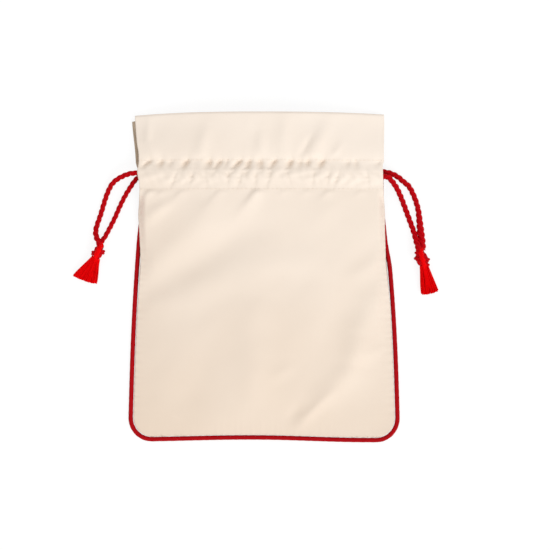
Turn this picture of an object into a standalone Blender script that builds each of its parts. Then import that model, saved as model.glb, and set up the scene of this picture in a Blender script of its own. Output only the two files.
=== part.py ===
"""Drawstring pouch of cream satin with red piping and two tasselled cords.

It lies flat on z = 0 with its header towards +Y. Metres, +Z up.
"""

import math

import bmesh
import bpy
from mathutils import Matrix, Vector
from mathutils.geometry import interpolate_bezier

# Outline, seen from above
POUCH_LENGTH = 0.2079
BOTTOM_WIDTH = 0.1722
NECK_WIDTH = 0.1544
HEADER_WIDTH = 0.1570
CORNER_RADIUS = 0.011
SIDE_BELLY = 0.0016
HEADER_LEAN = -0.0026
REAR_HEADER_LEAN = -0.0036
LEFT_CORNER_DROP = 0.0014
RIGHT_CORNER_DROP = 0.0011

# Header and casing, measured down from the fold at the mouth
HEADER_HEIGHT = 0.0306
CASING_HEIGHT = 0.0182
HEM = 0.0020
INNER_INSET = 0.0044

# Cloth, cord and piping
CLOTH = 0.0006
GAP = 0.0003
CORD = 0.0030
CORD_SPACING = 0.0048
TURN_GAP = 0.0010
PIPING = 0.0030

# How far the cloth stands up
BODY_LOFT = 0.0118
MOUTH_OPENING = 0.0046
CASING_PUFF_RATIO = 1.06
CROWN_REACH = 0.100
SEAM_CURL = 0.008

# Places along the side seam, measured down from the lower row of stitches
PIPING_TOP_DROP = 0.0079
PIPING_COVERED_DROP = 0.0132
PIPING_BARE_DROP = 0.0532
SEAM_RISE = 0.024

# Gathers: the stitched dimples as shares of the half width, and the pleats between them
DIMPLE_SHARES = (
    -0.89, -0.61, -0.41, -0.32, -0.17, -0.09, 0.0, 0.11, 0.26, 0.33, 0.40, 0.51, 0.73, 0.80, 0.94
)
PLEAT_HEIGHT = 0.0013
PLEAT_SLANT_RATIO = 0.35
PLEAT_REACH_HEADER = 0.015
PLEAT_REACH_BODY = 0.024
FULL_PLEAT_SHARE = 0.12
COLUMN_SHARE = 0.14

# Soft folds of the body: points as shares of half the width and half the length, half width and height
BODY_FOLDS = (
    (((-0.906, 0.267), (-0.612, 0.457)), 0.005, 0.0010),
    (((-0.918, 0.019), (-0.588, 0.267), (-0.353, 0.438)), 0.007, 0.0016),
    (((-0.918, -0.095), (-0.424, 0.114), (0.047, 0.286)), 0.009, -0.0014),
    (((-0.706, -0.190), (-0.118, 0.038), (0.259, 0.133)), 0.010, 0.0010),
    (((-0.612, -0.857), (-0.306, -0.571), (-0.165, -0.210)), 0.011, -0.0014),
    (((0.306, -0.952), (0.588, -0.686), (0.729, -0.381), (0.918, -0.038)), 0.007, 0.0018),
    (((0.541, 0.038), (0.918, 0.105)), 0.005, 0.0009),
)

# Knots and tassels: the knot's upper face, measured from the side of the casing, then sizes
LEFT_KNOT_OFFSET = (-0.0264, -0.0442)
RIGHT_KNOT_OFFSET = (0.0215, -0.0478)
LEFT_KNOT_LEAN = -0.0026
RIGHT_KNOT_LEAN = 0.0024
KNOT_RADIUS = 0.0040
LEFT_KNOT_LENGTH = 0.0090
RIGHT_KNOT_LENGTH = 0.0104
TASSEL_NECK_RADIUS = 0.0026
LEFT_TASSEL_WIDTH = 0.0152
RIGHT_TASSEL_WIDTH = 0.0110
LEFT_TASSEL_LENGTH = 0.0152
RIGHT_TASSEL_LENGTH = 0.0165
TASSEL_THICKNESS = 0.0046
LEFT_KNOT_WIDTH_SHARE = 1.0
RIGHT_KNOT_WIDTH_SHARE = 1.34
KNOT_PROFILE_SHARES = (
    (0, 0.86), (0.12, 1.04), (0.26, 0.90), (0.42, 1.06), (0.58, 0.92), (0.72, 1.02), (0.88, 0.86), (1, 0.60)
)
WRAP_SLANT_SHARE = -0.20
TASSEL_PROFILE_SHARES = ((0, 0), (0.14, 0.10), (0.35, 0.36), (0.65, 0.74), (1, 1))
FLUTE_SHARE = 0.09
SKIRT_RISE_SHARE = 0.1
LEFT_TASSEL_ANGLE = math.radians(-27)
RIGHT_TASSEL_ANGLE = math.radians(13)
LEFT_HEM_ANGLE = math.radians(-14)
RIGHT_HEM_ANGLE = math.radians(12)

# Routes of the free strands down to the knots, measured from the middle of the casing's side
LEFT_UPPER_ROUTE = (
    (-0.0039, 0.0011, 0.0076),
    (-0.0078, 0.0007, 0.0067),
    (-0.0121, -0.0008, 0.0055),
    (-0.0162, -0.0030, 0.0042),
    (-0.0192, -0.0058, 0.0030),
    (-0.0213, -0.0094, 0.0021),
    (-0.0231, -0.0138, 0.0017),
    (-0.0246, -0.0187, 0.0016),
    (-0.0265, -0.0250, 0.0016),
    (-0.0284, -0.0306, 0.0018),
    (-0.0294, -0.0346, 0.0024),
    (-0.0292, -0.0380, 0.0035),
    (-0.0280, -0.0410, 0.0049),
    (-0.0270, -0.0426, 0.0056),
)
LEFT_LOWER_ROUTE = (
    (-0.0038, -0.0029, 0.0023),
    (-0.0076, -0.0075, 0.0019),
    (-0.0110, -0.0131, 0.0016),
    (-0.0142, -0.0195, 0.0016),
    (-0.0173, -0.0266, 0.0016),
    (-0.0205, -0.0330, 0.0016),
    (-0.0234, -0.0384, 0.0017),
    (-0.0252, -0.0411, 0.0020),
    (-0.0260, -0.0426, 0.0022),
)
RIGHT_UPPER_ROUTE = (
    (0.0023, 0.0020, 0.0024),
    (0.0074, -0.0001, 0.0022),
    (0.0114, -0.0033, 0.0019),
    (0.0145, -0.0068, 0.0017),
    (0.0172, -0.0116, 0.0016),
    (0.0193, -0.0171, 0.0016),
    (0.0206, -0.0223, 0.0017),
    (0.0212, -0.0273, 0.0019),
    (0.0219, -0.0346, 0.0020),
    (0.0225, -0.0419, 0.0021),
    (0.0226, -0.0460, 0.0023),
)
RIGHT_LOWER_ROUTE = (
    (0.0009, -0.0023, 0.0076),
    (0.0039, -0.0046, 0.0066),
    (0.0066, -0.0080, 0.0050),
    (0.0090, -0.0126, 0.0032),
    (0.0113, -0.0182, 0.0019),
    (0.0136, -0.0244, 0.0016),
    (0.0158, -0.0304, 0.0017),
    (0.0178, -0.0362, 0.0022),
    (0.0192, -0.0419, 0.0036),
    (0.0200, -0.0451, 0.0049),
    (0.0203, -0.0460, 0.0054),
)

# Levels and places that follow from the sizes
TOP = POUCH_LENGTH / 2
BOTTOM = -POUCH_LENGTH / 2
UPPER_STITCH = TOP - HEADER_HEIGHT
LOWER_STITCH = UPPER_STITCH - CASING_HEIGHT
CASING_MIDDLE = (UPPER_STITCH + LOWER_STITCH) / 2
PIPING_TOP = LOWER_STITCH - PIPING_TOP_DROP
PIPING_COVERED = LOWER_STITCH - PIPING_COVERED_DROP
PIPING_BARE = LOWER_STITCH - PIPING_BARE_DROP
SEAM_INSET = PIPING + GAP
LAYER = CLOTH + GAP
TUNNEL = (CORD + 2 * GAP + CLOTH) * CASING_PUFF_RATIO
REAR_LEVEL = CLOTH / 2
FRONT_LEVEL = REAR_LEVEL + TUNNEL + LAYER
HEADER_LEVEL = REAR_LEVEL + 2 * LAYER
REAR_SEAM_LEVEL = PIPING / 2 - LAYER / 2
FRONT_SEAM_LEVEL = PIPING / 2 + LAYER / 2
OVER_PIPING_LEVEL = PIPING + GAP + CLOTH / 2
CORD_ABOVE_CLOTH = CLOTH / 2 + GAP + CORD / 2
LEFT_KNOT = (LEFT_KNOT_OFFSET[0] - NECK_WIDTH / 2, LEFT_KNOT_OFFSET[1] + CASING_MIDDLE)
RIGHT_KNOT = (RIGHT_KNOT_OFFSET[0] + NECK_WIDTH / 2, RIGHT_KNOT_OFFSET[1] + CASING_MIDDLE)

CREAM = (0.905, 0.800, 0.665)
RED = (0.420, 0.008, 0.010)


def step(low, high, value):
    """0 below low, 1 above high, and a smooth rise between them."""
    share = min(max((value - low) / (high - low), 0), 1)
    return share * share * (3 - 2 * share)


def mix(first, second, share):
    return first + (second - first) * share


def half_width(y):
    """Half the width over the piping, with straight bottom corners."""
    corner = BOTTOM + CORNER_RADIUS
    share = min(max((y - corner) / (LOWER_STITCH - corner), 0), 1)
    body = mix(BOTTOM_WIDTH, NECK_WIDTH, share) / 2 + SIDE_BELLY * math.sin(math.pi * share)
    flare = (HEADER_WIDTH - NECK_WIDTH) / 2 * step(UPPER_STITCH, TOP, y)
    return body + flare


def lean(y):
    """How far the pouch's middle line has moved towards +X at this height."""
    return HEADER_LEAN * max((y - BOTTOM) / POUCH_LENGTH, 0) ** 3


def corner_cut(y):
    """How far the round corner of a panel draws its side in."""
    radius = CORNER_RADIUS - SEAM_INSET
    below = max(BOTTOM + SEAM_INSET + radius - y, 0)
    return radius - math.sqrt(max(radius**2 - below**2, 0))


def front_half(y):
    """Half the front panel's width: beside the bare piping, and over it near the neck."""
    inset = SEAM_INSET * (1 - step(PIPING_BARE, PIPING_COVERED, y))
    return half_width(y) - inset - corner_cut(y)


def rear_half(y):
    """Half the rear panel's width: inside the piping, and full width above its end."""
    inset = SEAM_INSET * (1 - step(PIPING_TOP + GAP, LOWER_STITCH - HEM, y))
    return half_width(y) - inset - corner_cut(y)


def top_drop(t, y):
    """How far the header sinks towards its two upper corners."""
    drop = LEFT_CORNER_DROP * max(-t, 0) ** 3 + RIGHT_CORNER_DROP * max(t, 0) ** 3
    return drop * min(max((y - UPPER_STITCH) / HEADER_HEIGHT, 0), 1)


def puff(y):
    """Distance between a casing's two layers, wide enough for the cords between the stitch rows."""
    share = min(abs(y - CASING_MIDDLE) / (CASING_HEIGHT / 2), 1)
    return LAYER + (TUNNEL - LAYER) * (1 - share**3)


def lining_level(t, y):
    """Height of the front panel's inner layer, which arches over the mouth."""
    side = mix(FRONT_LEVEL, HEADER_LEVEL, step(UPPER_STITCH, TOP, y))
    return mix(side, FRONT_LEVEL + MOUTH_OPENING, 1 - t * t)


def fold_height(x, y):
    """Sum of the soft folds at a place on the body."""
    place = Vector((x, y))
    total = 0
    for line, reach, height in BODY_FOLDS:
        ends = [Vector((x_share * BOTTOM_WIDTH / 2, y_share * POUCH_LENGTH / 2)) for x_share, y_share in line]
        nearest = 1.0
        for first, second in zip(ends, ends[1:]):
            along = second - first
            share = min(max((place - first).dot(along) / along.length_squared, 0), 1)
            nearest = min(nearest, (place - first - along * share).length)
        total += height * math.exp(-((nearest / reach) ** 2))
    return total


def body_level(t, y):
    """Height of the front panel below the casing: a low crown that ends in the seam."""
    side = mix(FRONT_SEAM_LEVEL, OVER_PIPING_LEVEL, step(PIPING_BARE - SEAM_RISE, PIPING_BARE, y))
    side = mix(side, FRONT_LEVEL + LAYER, step(PIPING_COVERED, LOWER_STITCH - 2 * HEM, y))
    climb = min(max((y - BOTTOM - SEAM_INSET) / CROWN_REACH, 0), 1)
    crown = mix(FRONT_SEAM_LEVEL, BODY_LOFT, 1 - (1 - climb) ** 2.5)
    crown = mix(crown, FRONT_LEVEL + MOUTH_OPENING + LAYER, step(PIPING_BARE, LOWER_STITCH - 2 * HEM, y))
    away_from_seams = (1 - t**4) * climb ** 0.5 * (1 - step(PIPING_COVERED, LOWER_STITCH, y))
    x = lean(y) + t * front_half(y)
    return mix(side, crown, 1 - t * t) + fold_height(x, y) * away_from_seams


def pleat(t):
    """0 in a dimple and up to 1 on the pleat between two dimples."""
    marks = (-1.0,) + DIMPLE_SHARES + (1.0,)
    for left, right in zip(marks, marks[1:]):
        if t <= right:
            full = min((right - left) / FULL_PLEAT_SHARE, 1)
            return full * math.sin(math.pi * (t - left) / (right - left))
    return 0


def pleat_strength(y):
    """How strongly the gathers show at this height."""
    header = 1 - step(UPPER_STITCH, UPPER_STITCH + PLEAT_REACH_HEADER, y)
    body = step(LOWER_STITCH - PLEAT_REACH_BODY, LOWER_STITCH, y)
    return min(header, body)


def slant(t, y):
    """Sideways shift that makes the pleats lean."""
    return PLEAT_SLANT_RATIO * (y - CASING_MIDDLE) * (1 - t * t) * pleat_strength(y)


def corner_rows():
    """Heights of the rows that follow a panel's round bottom corners."""
    radius = CORNER_RADIUS - SEAM_INSET
    return [BOTTOM + SEAM_INSET + radius * (1 - math.cos(math.radians(turn))) for turn in (0, 30, 60, 90)]


def casing_rows():
    return [CASING_MIDDLE + share * CASING_HEIGHT / 2 for share in (-1, -0.7, -0.4, 0, 0.4, 0.7, 1)]


def front_columns():
    """Positions across the front panel: every dimple, and an even number of steps between two dimples."""
    marks = (-1.0,) + DIMPLE_SHARES + (1.0,)
    columns = [-1.0]
    for left, right in zip(marks, marks[1:]):
        parts = 2 * max(1, round((right - left) / COLUMN_SHARE))
        columns += [mix(left, right, part / parts) for part in range(1, parts + 1)]
    return columns


def rear_columns(parts=16, curled=(0.955, 0.985)):
    """Positions across the rear panel, closer where its edges curl up to the seam."""
    flat = [mix(-0.91, 0.91, part / parts) for part in range(parts + 1)]
    return [-1.0] + [-t for t in reversed(curled)] + flat + list(curled) + [1.0]


def front_rows():
    """Rows of the front sheet, from the bottom seam over the fold and down to the inner hem.

    Each row: its height, its lift above the lining (None on the body), its pleats and its share of the inset.
    """
    corners = corner_rows()
    count = 13
    span = LOWER_STITCH - corners[-1]
    body = [LOWER_STITCH - span * ((count - k) / count) ** 1.25 for k in range(1, count)]
    rows = [(y, None, 1, 0) for y in corners + body]
    rows += [(y, puff(y), 1, 0) for y in casing_rows()]
    header = [mix(UPPER_STITCH, TOP, share) for share in (0.12, 0.3, 0.55, 0.8)]
    rows += [(y, LAYER, 1, 0) for y in header]
    fold = TOP - CLOTH / 2
    rows += [(fold - LAYER / 2, LAYER, 0, 0), (fold, LAYER / 2, 0, 0), (fold - LAYER / 2, 0, 0, 0)]
    rows += [(mix(TOP, UPPER_STITCH, 0.5), 0, 0, 0.5)]
    rows += [(y, 0, 0, 1) for y in (UPPER_STITCH, CASING_MIDDLE, LOWER_STITCH - HEM)]
    return rows


def rear_rows():
    """Rows of the rear sheet, each its height, its lift above the floor layer and its share of the inset."""
    corners = corner_rows()
    body = [mix(corners[-1], PIPING_TOP, share) for share in (0.05, 0.35, 0.7, 1)]
    rows = [(y, 0, 0) for y in corners + body + [LOWER_STITCH - HEM, UPPER_STITCH]]
    fold = TOP - CLOTH / 2 - 2 * CLOTH
    rows += [(fold - LAYER / 2, 0, 0), (fold, LAYER / 2, 0), (fold - LAYER / 2, LAYER, 0)]
    rows += [(mix(TOP, UPPER_STITCH, 0.5), LAYER, 0.5)]
    rows += [(y, puff(y), 1) for y in reversed(casing_rows())]
    return rows + [(LOWER_STITCH - HEM, LAYER, 1)]


def front_point(t, row):
    y, lift, pleats, inset = row
    x = lean(y) + t * (front_half(y) - inset * INNER_INSET) + slant(t, y)
    z = body_level(t, y) if lift is None else lining_level(t, y) + lift
    z += pleats * PLEAT_HEIGHT * pleat(t) * pleat_strength(y)
    return Vector((x, y - top_drop(t, y), z))


def rear_shift(y, inner):
    """Sideways shift of the rear header; its inner layer shifts only above the cords."""
    low = mix(CASING_MIDDLE - HEM, UPPER_STITCH - 2 * HEM, inner)
    high = mix(UPPER_STITCH, UPPER_STITCH + 3 * HEM, inner)
    return REAR_HEADER_LEAN * step(low, high, y)


def rear_point(t, row):
    y, lift, inset = row
    half = rear_half(y) - inset * INNER_INSET
    x = lean(y) + rear_shift(y, inset) + t * half
    to_side = step(0, SEAM_CURL, (1 - abs(t)) * half)
    to_bottom = step(0, SEAM_CURL, y - BOTTOM - SEAM_INSET)
    curl = (1 - to_side * to_bottom) * (1 - step(PIPING_TOP - SEAM_CURL, PIPING_TOP, y))
    z = mix(REAR_LEVEL, REAR_SEAM_LEVEL, curl) + lift
    return Vector((x, y - top_drop(t, y), z))


def material(name, colour, roughness):
    made = bpy.data.materials.new(name)
    made.use_nodes = True
    surface = made.node_tree.nodes["Principled BSDF"]
    surface.inputs["Base Color"].default_value = (*colour, 1)
    surface.inputs["Roughness"].default_value = roughness
    surface.inputs["Metallic"].default_value = 0
    return made


def add_object(name, data, surface):
    data.materials.append(surface)
    made = bpy.data.objects.new(name, data)
    bpy.context.scene.collection.objects.link(made)
    return made


def add_mesh(name, shape, surface):
    """Turns a bmesh into a smooth-shaded object."""
    bmesh.ops.recalc_face_normals(shape, faces=shape.faces)
    mesh = bpy.data.meshes.new(name)
    shape.to_mesh(mesh)
    shape.free()
    mesh.shade_smooth()
    return add_object(name, mesh, surface)


def sheet(name, columns, rows, place, surface):
    """A panel: a grid laid along the cloth's middle surface, then thickened."""
    shape = bmesh.new()
    across = len(columns) - 1
    along = len(rows) - 1
    bmesh.ops.create_grid(shape, x_segments=across, y_segments=along, size=1)
    for vert in shape.verts:
        column = columns[round((vert.co.x + 1) / 2 * across)]
        row = rows[round((vert.co.y + 1) / 2 * along)]
        vert.co = place(column, row)
    made = add_mesh(name, shape, surface)
    thickness = made.modifiers.new("Cloth", "SOLIDIFY")
    thickness.thickness = CLOTH
    thickness.offset = 0
    thickness.use_even_offset = True
    return made


def tube(name, points, diameter, surface):
    """A round cord along its points, closed at both ends."""
    curve = bpy.data.curves.new(name, "CURVE")
    curve.dimensions = "3D"
    spline = curve.splines.new("POLY")
    spline.points.add(len(points) - 1)
    for target, point in zip(spline.points, points):
        target.co = (*point, 1)
    curve.bevel_depth = diameter / 2
    curve.bevel_resolution = 2
    curve.use_fill_caps = True
    return add_object(name, curve, surface)


def smooth_route(route, spacing):
    """Evenly spaced points on a smooth curve through a cord's route."""
    knots = [Vector(point) for point in route]
    before = [2 * knots[0] - knots[1]] + knots[:-1]
    after = knots[1:] + [2 * knots[-1] - knots[-2]]
    handles = [(last - first) / 6 for first, last in zip(before, after)]
    fine = [knots[0]]
    for first, second in zip(range(len(knots) - 1), range(1, len(knots))):
        leave = knots[first] + handles[first]
        arrive = knots[second] - handles[second]
        fine += interpolate_bezier(knots[first], leave, arrive, knots[second], 12)[1:]
    lengths = [0]
    for first, second in zip(fine, fine[1:]):
        lengths.append(lengths[-1] + (second - first).length)
    count = max(2, round(lengths[-1] / spacing))
    points = []
    place = 0
    for number in range(count + 1):
        target = lengths[-1] * number / count
        while place < len(fine) - 2 and lengths[place + 1] < target:
            place += 1
        share = (target - lengths[place]) / (lengths[place + 1] - lengths[place])
        points.append(fine[place].lerp(fine[place + 1], min(max(share, 0), 1)))
    return points


def mouth(side):
    """Where the cords leave the casing at one side."""
    return lean(CASING_MIDDLE) + side * (NECK_WIDTH / 2 - CORD / 2)


def leg_y(side, front):
    """Place of a cord's leg in the casing: each cord's two legs lie on opposite sides of the middle."""
    return CASING_MIDDLE - side * (1 if front else -1) * CORD_SPACING / 2


def leg_z(x, front):
    if not front:
        return REAR_LEVEL + CORD_ABOVE_CLOTH
    t = (x - lean(CASING_MIDDLE)) / (NECK_WIDTH / 2)
    return lining_level(min(max(t, -1), 1), CASING_MIDDLE) + CORD_ABOVE_CLOTH


def inner_run(side):
    """Route of a cord inside the casings: across in front, round the far side and back behind."""
    start = mouth(side)
    front_side = Vector((0, leg_y(side, True), leg_z(start, True)))
    rear_side = Vector((0, leg_y(side, False), leg_z(start, False)))
    radius = (front_side - rear_side).length / 2
    middle = (front_side + rear_side) / 2
    far_layer = lean(CASING_MIDDLE) - side * (NECK_WIDTH / 2 - INNER_INSET)
    centre = Vector((far_layer + side * (radius - CORD / 2 - TURN_GAP), middle.y, middle.z))
    steps = 20
    across = [mix(start, centre.x, number / steps) for number in range(steps)]
    front = [Vector((x, leg_y(side, True), leg_z(x, True))) for x in across]
    outward = Vector((-side, 0, 0))
    towards = (front_side - rear_side).normalized()
    turn = []
    for degrees in range(0, 181, 30):
        angle = math.radians(degrees)
        turn.append(centre + outward * radius * math.sin(angle) + towards * radius * math.cos(angle))
    rear = [Vector((x, leg_y(side, False), leg_z(x, False))) for x in reversed(across)]
    return front + turn + rear


def strand(side, front, route, knot):
    """Points of a free strand: it starts at the end of its leg and ends square on its knot."""
    start = mouth(side) + side * GAP
    first = Vector((start, leg_y(side, front), leg_z(start, front)))
    second = first + Vector((side * CORD / 2, 0, 0))
    origin = Vector((side * NECK_WIDTH / 2, CASING_MIDDLE, 0))
    places = [origin + Vector(point) for point in route]
    last = Vector((places[-1].x, knot[1] + GAP, places[-1].z))
    return [first] + smooth_route([second] + places, 2 * CORD) + [last]


def piping_route():
    """Middle line of the piping: down the left side, along the bottom and up the right side."""
    radius = CORNER_RADIUS - PIPING / 2
    corner_y = BOTTOM + CORNER_RADIUS
    heights = [mix(PIPING_TOP, corner_y, number / 18) for number in range(19)]
    left = [Vector((lean(y) - half_width(y) + PIPING / 2, y, PIPING / 2)) for y in heights]
    right = [Vector((lean(y) + half_width(y) - PIPING / 2, y, PIPING / 2)) for y in reversed(heights)]
    corner_x = left[-1].x + radius
    round_left = []
    round_right = []
    for degrees in (18, 36, 54, 72, 90):
        angle = math.radians(degrees)
        y = corner_y - radius * math.sin(angle)
        round_left.append(Vector((corner_x - radius * math.cos(angle), y, PIPING / 2)))
        round_right.insert(0, Vector((-corner_x + radius * math.cos(angle), y, PIPING / 2)))
    bottom = [round_left[-1].lerp(round_right[0], number / 12) for number in range(1, 12)]
    return left + round_left + bottom + round_right + right


def lofted(name, rings, surface):
    """A closed body through rings of points, with both ends capped."""
    shape = bmesh.new()
    loops = [[shape.verts.new(point) for point in ring] for ring in rings]
    for first, second in zip(loops, loops[1:]):
        for number in range(len(first)):
            after = (number + 1) % len(first)
            shape.faces.new((first[number], first[after], second[after], second[number]))
    shape.faces.new(loops[0])
    shape.faces.new(loops[-1])
    return add_mesh(name, shape, surface)


def knot_rings(place, length, width_share, knot_lean):
    """Rings of a knot: the wraps of the two cords round each other, leaning across the knot."""
    rings = []
    for share, radius in KNOT_PROFILE_SHARES:
        wrap_slant = WRAP_SLANT_SHARE * math.sin(math.pi * share)
        ring = []
        for number in range(14):
            angle = math.tau * number / 14
            across = KNOT_RADIUS * radius * width_share * math.cos(angle)
            up = KNOT_RADIUS * min(radius, 1) * math.sin(angle)
            x = place[0] + knot_lean * share + across
            y = place[1] - length * share + wrap_slant * across
            ring.append(Vector((x, y, KNOT_RADIUS + up)))
        rings.append(ring)
    return rings


def tassel_rings(place, knot_length, knot_lean, width, length, turn, hem_turn):
    """Rings of a tassel: a fluted skirt of threads that spreads and sinks to the floor."""
    top = Vector((place[0] + knot_lean, place[1] - knot_length - GAP, 0))
    about = Matrix.Rotation(turn, 3, "Z")
    hem = Matrix.Rotation(hem_turn, 3, "Z")
    rings = []
    for share, spread in TASSEL_PROFILE_SHARES:
        half = mix(TASSEL_NECK_RADIUS, width / 2, spread)
        thick = mix(TASSEL_NECK_RADIUS, TASSEL_THICKNESS / 2, spread)
        level = mix(KNOT_RADIUS, TASSEL_THICKNESS / 2, step(0, 0.6, share))
        level += SKIRT_RISE_SHARE * TASSEL_THICKNESS * spread
        turned = Matrix.Identity(3).lerp(hem, step(0, 0.3, share))
        ring = []
        for number in range(24):
            angle = math.tau * number / 24
            flute = 1 - FLUTE_SHARE * spread * (number % 2)
            across = turned @ Vector((half * flute * math.cos(angle), 0, 0))
            down = about @ Vector((0, -length * share, 0))
            up = Vector((0, 0, level + thick * flute * math.sin(angle)))
            ring.append(top + across + down + up)
        rings.append(ring)
    return rings


def build():
    for old in list(bpy.data.objects):
        bpy.data.objects.remove(old)
    satin = material("cream_satin", CREAM, 0.55)
    trim = material("red_piping", RED, 0.60)
    twist = material("red_cord", RED, 0.55)

    sheet("front_panel", front_columns(), front_rows(), front_point, satin)
    sheet("rear_panel", rear_columns(), rear_rows(), rear_point, satin)
    tube("piping", piping_route(), PIPING, trim)

    left, right = -1, 1
    tube("left_cord_in_casing", inner_run(left), CORD, twist)
    tube("right_cord_in_casing", inner_run(right), CORD, twist)
    tube("left_strand_upper", strand(left, True, LEFT_UPPER_ROUTE, LEFT_KNOT), CORD, twist)
    tube("left_strand_lower", strand(left, False, LEFT_LOWER_ROUTE, LEFT_KNOT), CORD, twist)
    tube("right_strand_upper", strand(right, False, RIGHT_UPPER_ROUTE, RIGHT_KNOT), CORD, twist)
    tube("right_strand_lower", strand(right, True, RIGHT_LOWER_ROUTE, RIGHT_KNOT), CORD, twist)

    left_rings = knot_rings(LEFT_KNOT, LEFT_KNOT_LENGTH, LEFT_KNOT_WIDTH_SHARE, LEFT_KNOT_LEAN)
    right_rings = knot_rings(RIGHT_KNOT, RIGHT_KNOT_LENGTH, RIGHT_KNOT_WIDTH_SHARE, RIGHT_KNOT_LEAN)
    lofted("left_knot", left_rings, twist)
    lofted("right_knot", right_rings, twist)
    left_skirt = tassel_rings(
        LEFT_KNOT, LEFT_KNOT_LENGTH, LEFT_KNOT_LEAN, LEFT_TASSEL_WIDTH,
        LEFT_TASSEL_LENGTH, LEFT_TASSEL_ANGLE, LEFT_HEM_ANGLE,
    )
    right_skirt = tassel_rings(
        RIGHT_KNOT, RIGHT_KNOT_LENGTH, RIGHT_KNOT_LEAN, RIGHT_TASSEL_WIDTH,
        RIGHT_TASSEL_LENGTH, RIGHT_TASSEL_ANGLE, RIGHT_HEM_ANGLE,
    )
    lofted("left_tassel", left_skirt, twist)
    lofted("right_tassel", right_skirt, twist)


build()
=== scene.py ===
# %% [markdown]
# A drawstring pouch of cream satin
#
# The pouch lies flat with its mouth towards +Y. Its cloth, piping, cords, knots and tassels are made
# here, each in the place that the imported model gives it, and each with the finish that the real one
# shows.

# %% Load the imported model
import math
import random

import bmesh
import bpy
import numpy as np
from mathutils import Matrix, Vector


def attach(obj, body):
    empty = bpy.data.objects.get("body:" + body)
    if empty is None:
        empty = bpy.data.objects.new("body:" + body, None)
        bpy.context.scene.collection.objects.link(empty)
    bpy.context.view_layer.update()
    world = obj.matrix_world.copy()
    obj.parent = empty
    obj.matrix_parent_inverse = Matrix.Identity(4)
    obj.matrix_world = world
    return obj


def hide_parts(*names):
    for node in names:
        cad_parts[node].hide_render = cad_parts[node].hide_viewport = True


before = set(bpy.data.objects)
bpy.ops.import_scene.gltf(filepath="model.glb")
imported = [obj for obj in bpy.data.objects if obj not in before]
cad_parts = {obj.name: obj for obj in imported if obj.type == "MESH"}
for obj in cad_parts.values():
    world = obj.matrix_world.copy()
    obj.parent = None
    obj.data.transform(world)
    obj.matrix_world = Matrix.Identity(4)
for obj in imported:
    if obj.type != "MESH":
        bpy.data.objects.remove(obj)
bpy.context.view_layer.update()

ROOT = "root"

# %% [markdown]
# The camera
#
# The photograph looks straight down through a long lens. One pixel of it is 0.63 mm on the pouch, so a
# camera whose frame is 550 such pixels wide at the height of the cloth sees the pouch at the photograph's
# size. A long lens is chosen instead of a flat projection, because the edges then still show a little of
# their sides.

# %% Place the camera
PIXEL = 0.00063
PHOTO_SIDE = 550
MIDDLE_COLUMN = 264.0
MIDDLE_ROW = 276.83
LENS = 100.0
SENSOR = 36.0
CLOTH_HEIGHT = 0.008

eye_x = (PHOTO_SIDE / 2 - MIDDLE_COLUMN) * PIXEL
eye_y = (MIDDLE_ROW - PHOTO_SIDE / 2) * PIXEL
eye_height = PHOTO_SIDE * PIXEL * LENS / SENSOR + CLOTH_HEIGHT

lens = bpy.data.cameras.new("camera")
lens.lens = LENS
lens.sensor_width = SENSOR
camera = bpy.data.objects.new("camera", lens)
camera.location = (eye_x, eye_y, eye_height)
bpy.context.scene.collection.objects.link(camera)
bpy.context.scene.camera = camera
print("camera at", [round(value, 4) for value in camera.location])

# %% [markdown]
# Shader maths as plain expressions
#
# Each finish below mixes a few patterns. Blender adds, multiplies and compares patterns with Math nodes,
# and a long chain of them is hard to read. A small class wraps a node's output, so that ordinary signs
# such as * and + add the node. Everything else goes through one method, `node`.

# %% Patterns and their maths
class Pattern:
    """A number that changes over the surface."""

    def __init__(self, finish, socket):
        self.finish = finish
        self.socket = socket

    def __add__(self, other):
        return self.finish.maths("ADD", self, other)

    def __sub__(self, other):
        return self.finish.maths("SUBTRACT", self, other)

    def __rsub__(self, other):
        return self.finish.maths("SUBTRACT", other, self)

    def __mul__(self, other):
        return self.finish.maths("MULTIPLY", self, other)

    __radd__ = __add__
    __rmul__ = __mul__

    def wave(self):
        """Smooth stripes from 0 to 1, one for each turn of the pattern."""
        return self.finish.maths("SINE", self, 0) * 0.5 + 0.5

    def clipped(self):
        return self.finish.node("ShaderNodeClamp", {}, {"Value": self}, "Result")


print("signs that add a Math node: + - *")

# %% [markdown]
# A finish
#
# A finish is a material with Blender's Principled surface. `node` adds any node: its settings first, then
# the value or the link of each socket. The other methods are short names for the few nodes that the
# cloth, the cords and the thread need, and the last three say what the surface takes from them.

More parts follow.
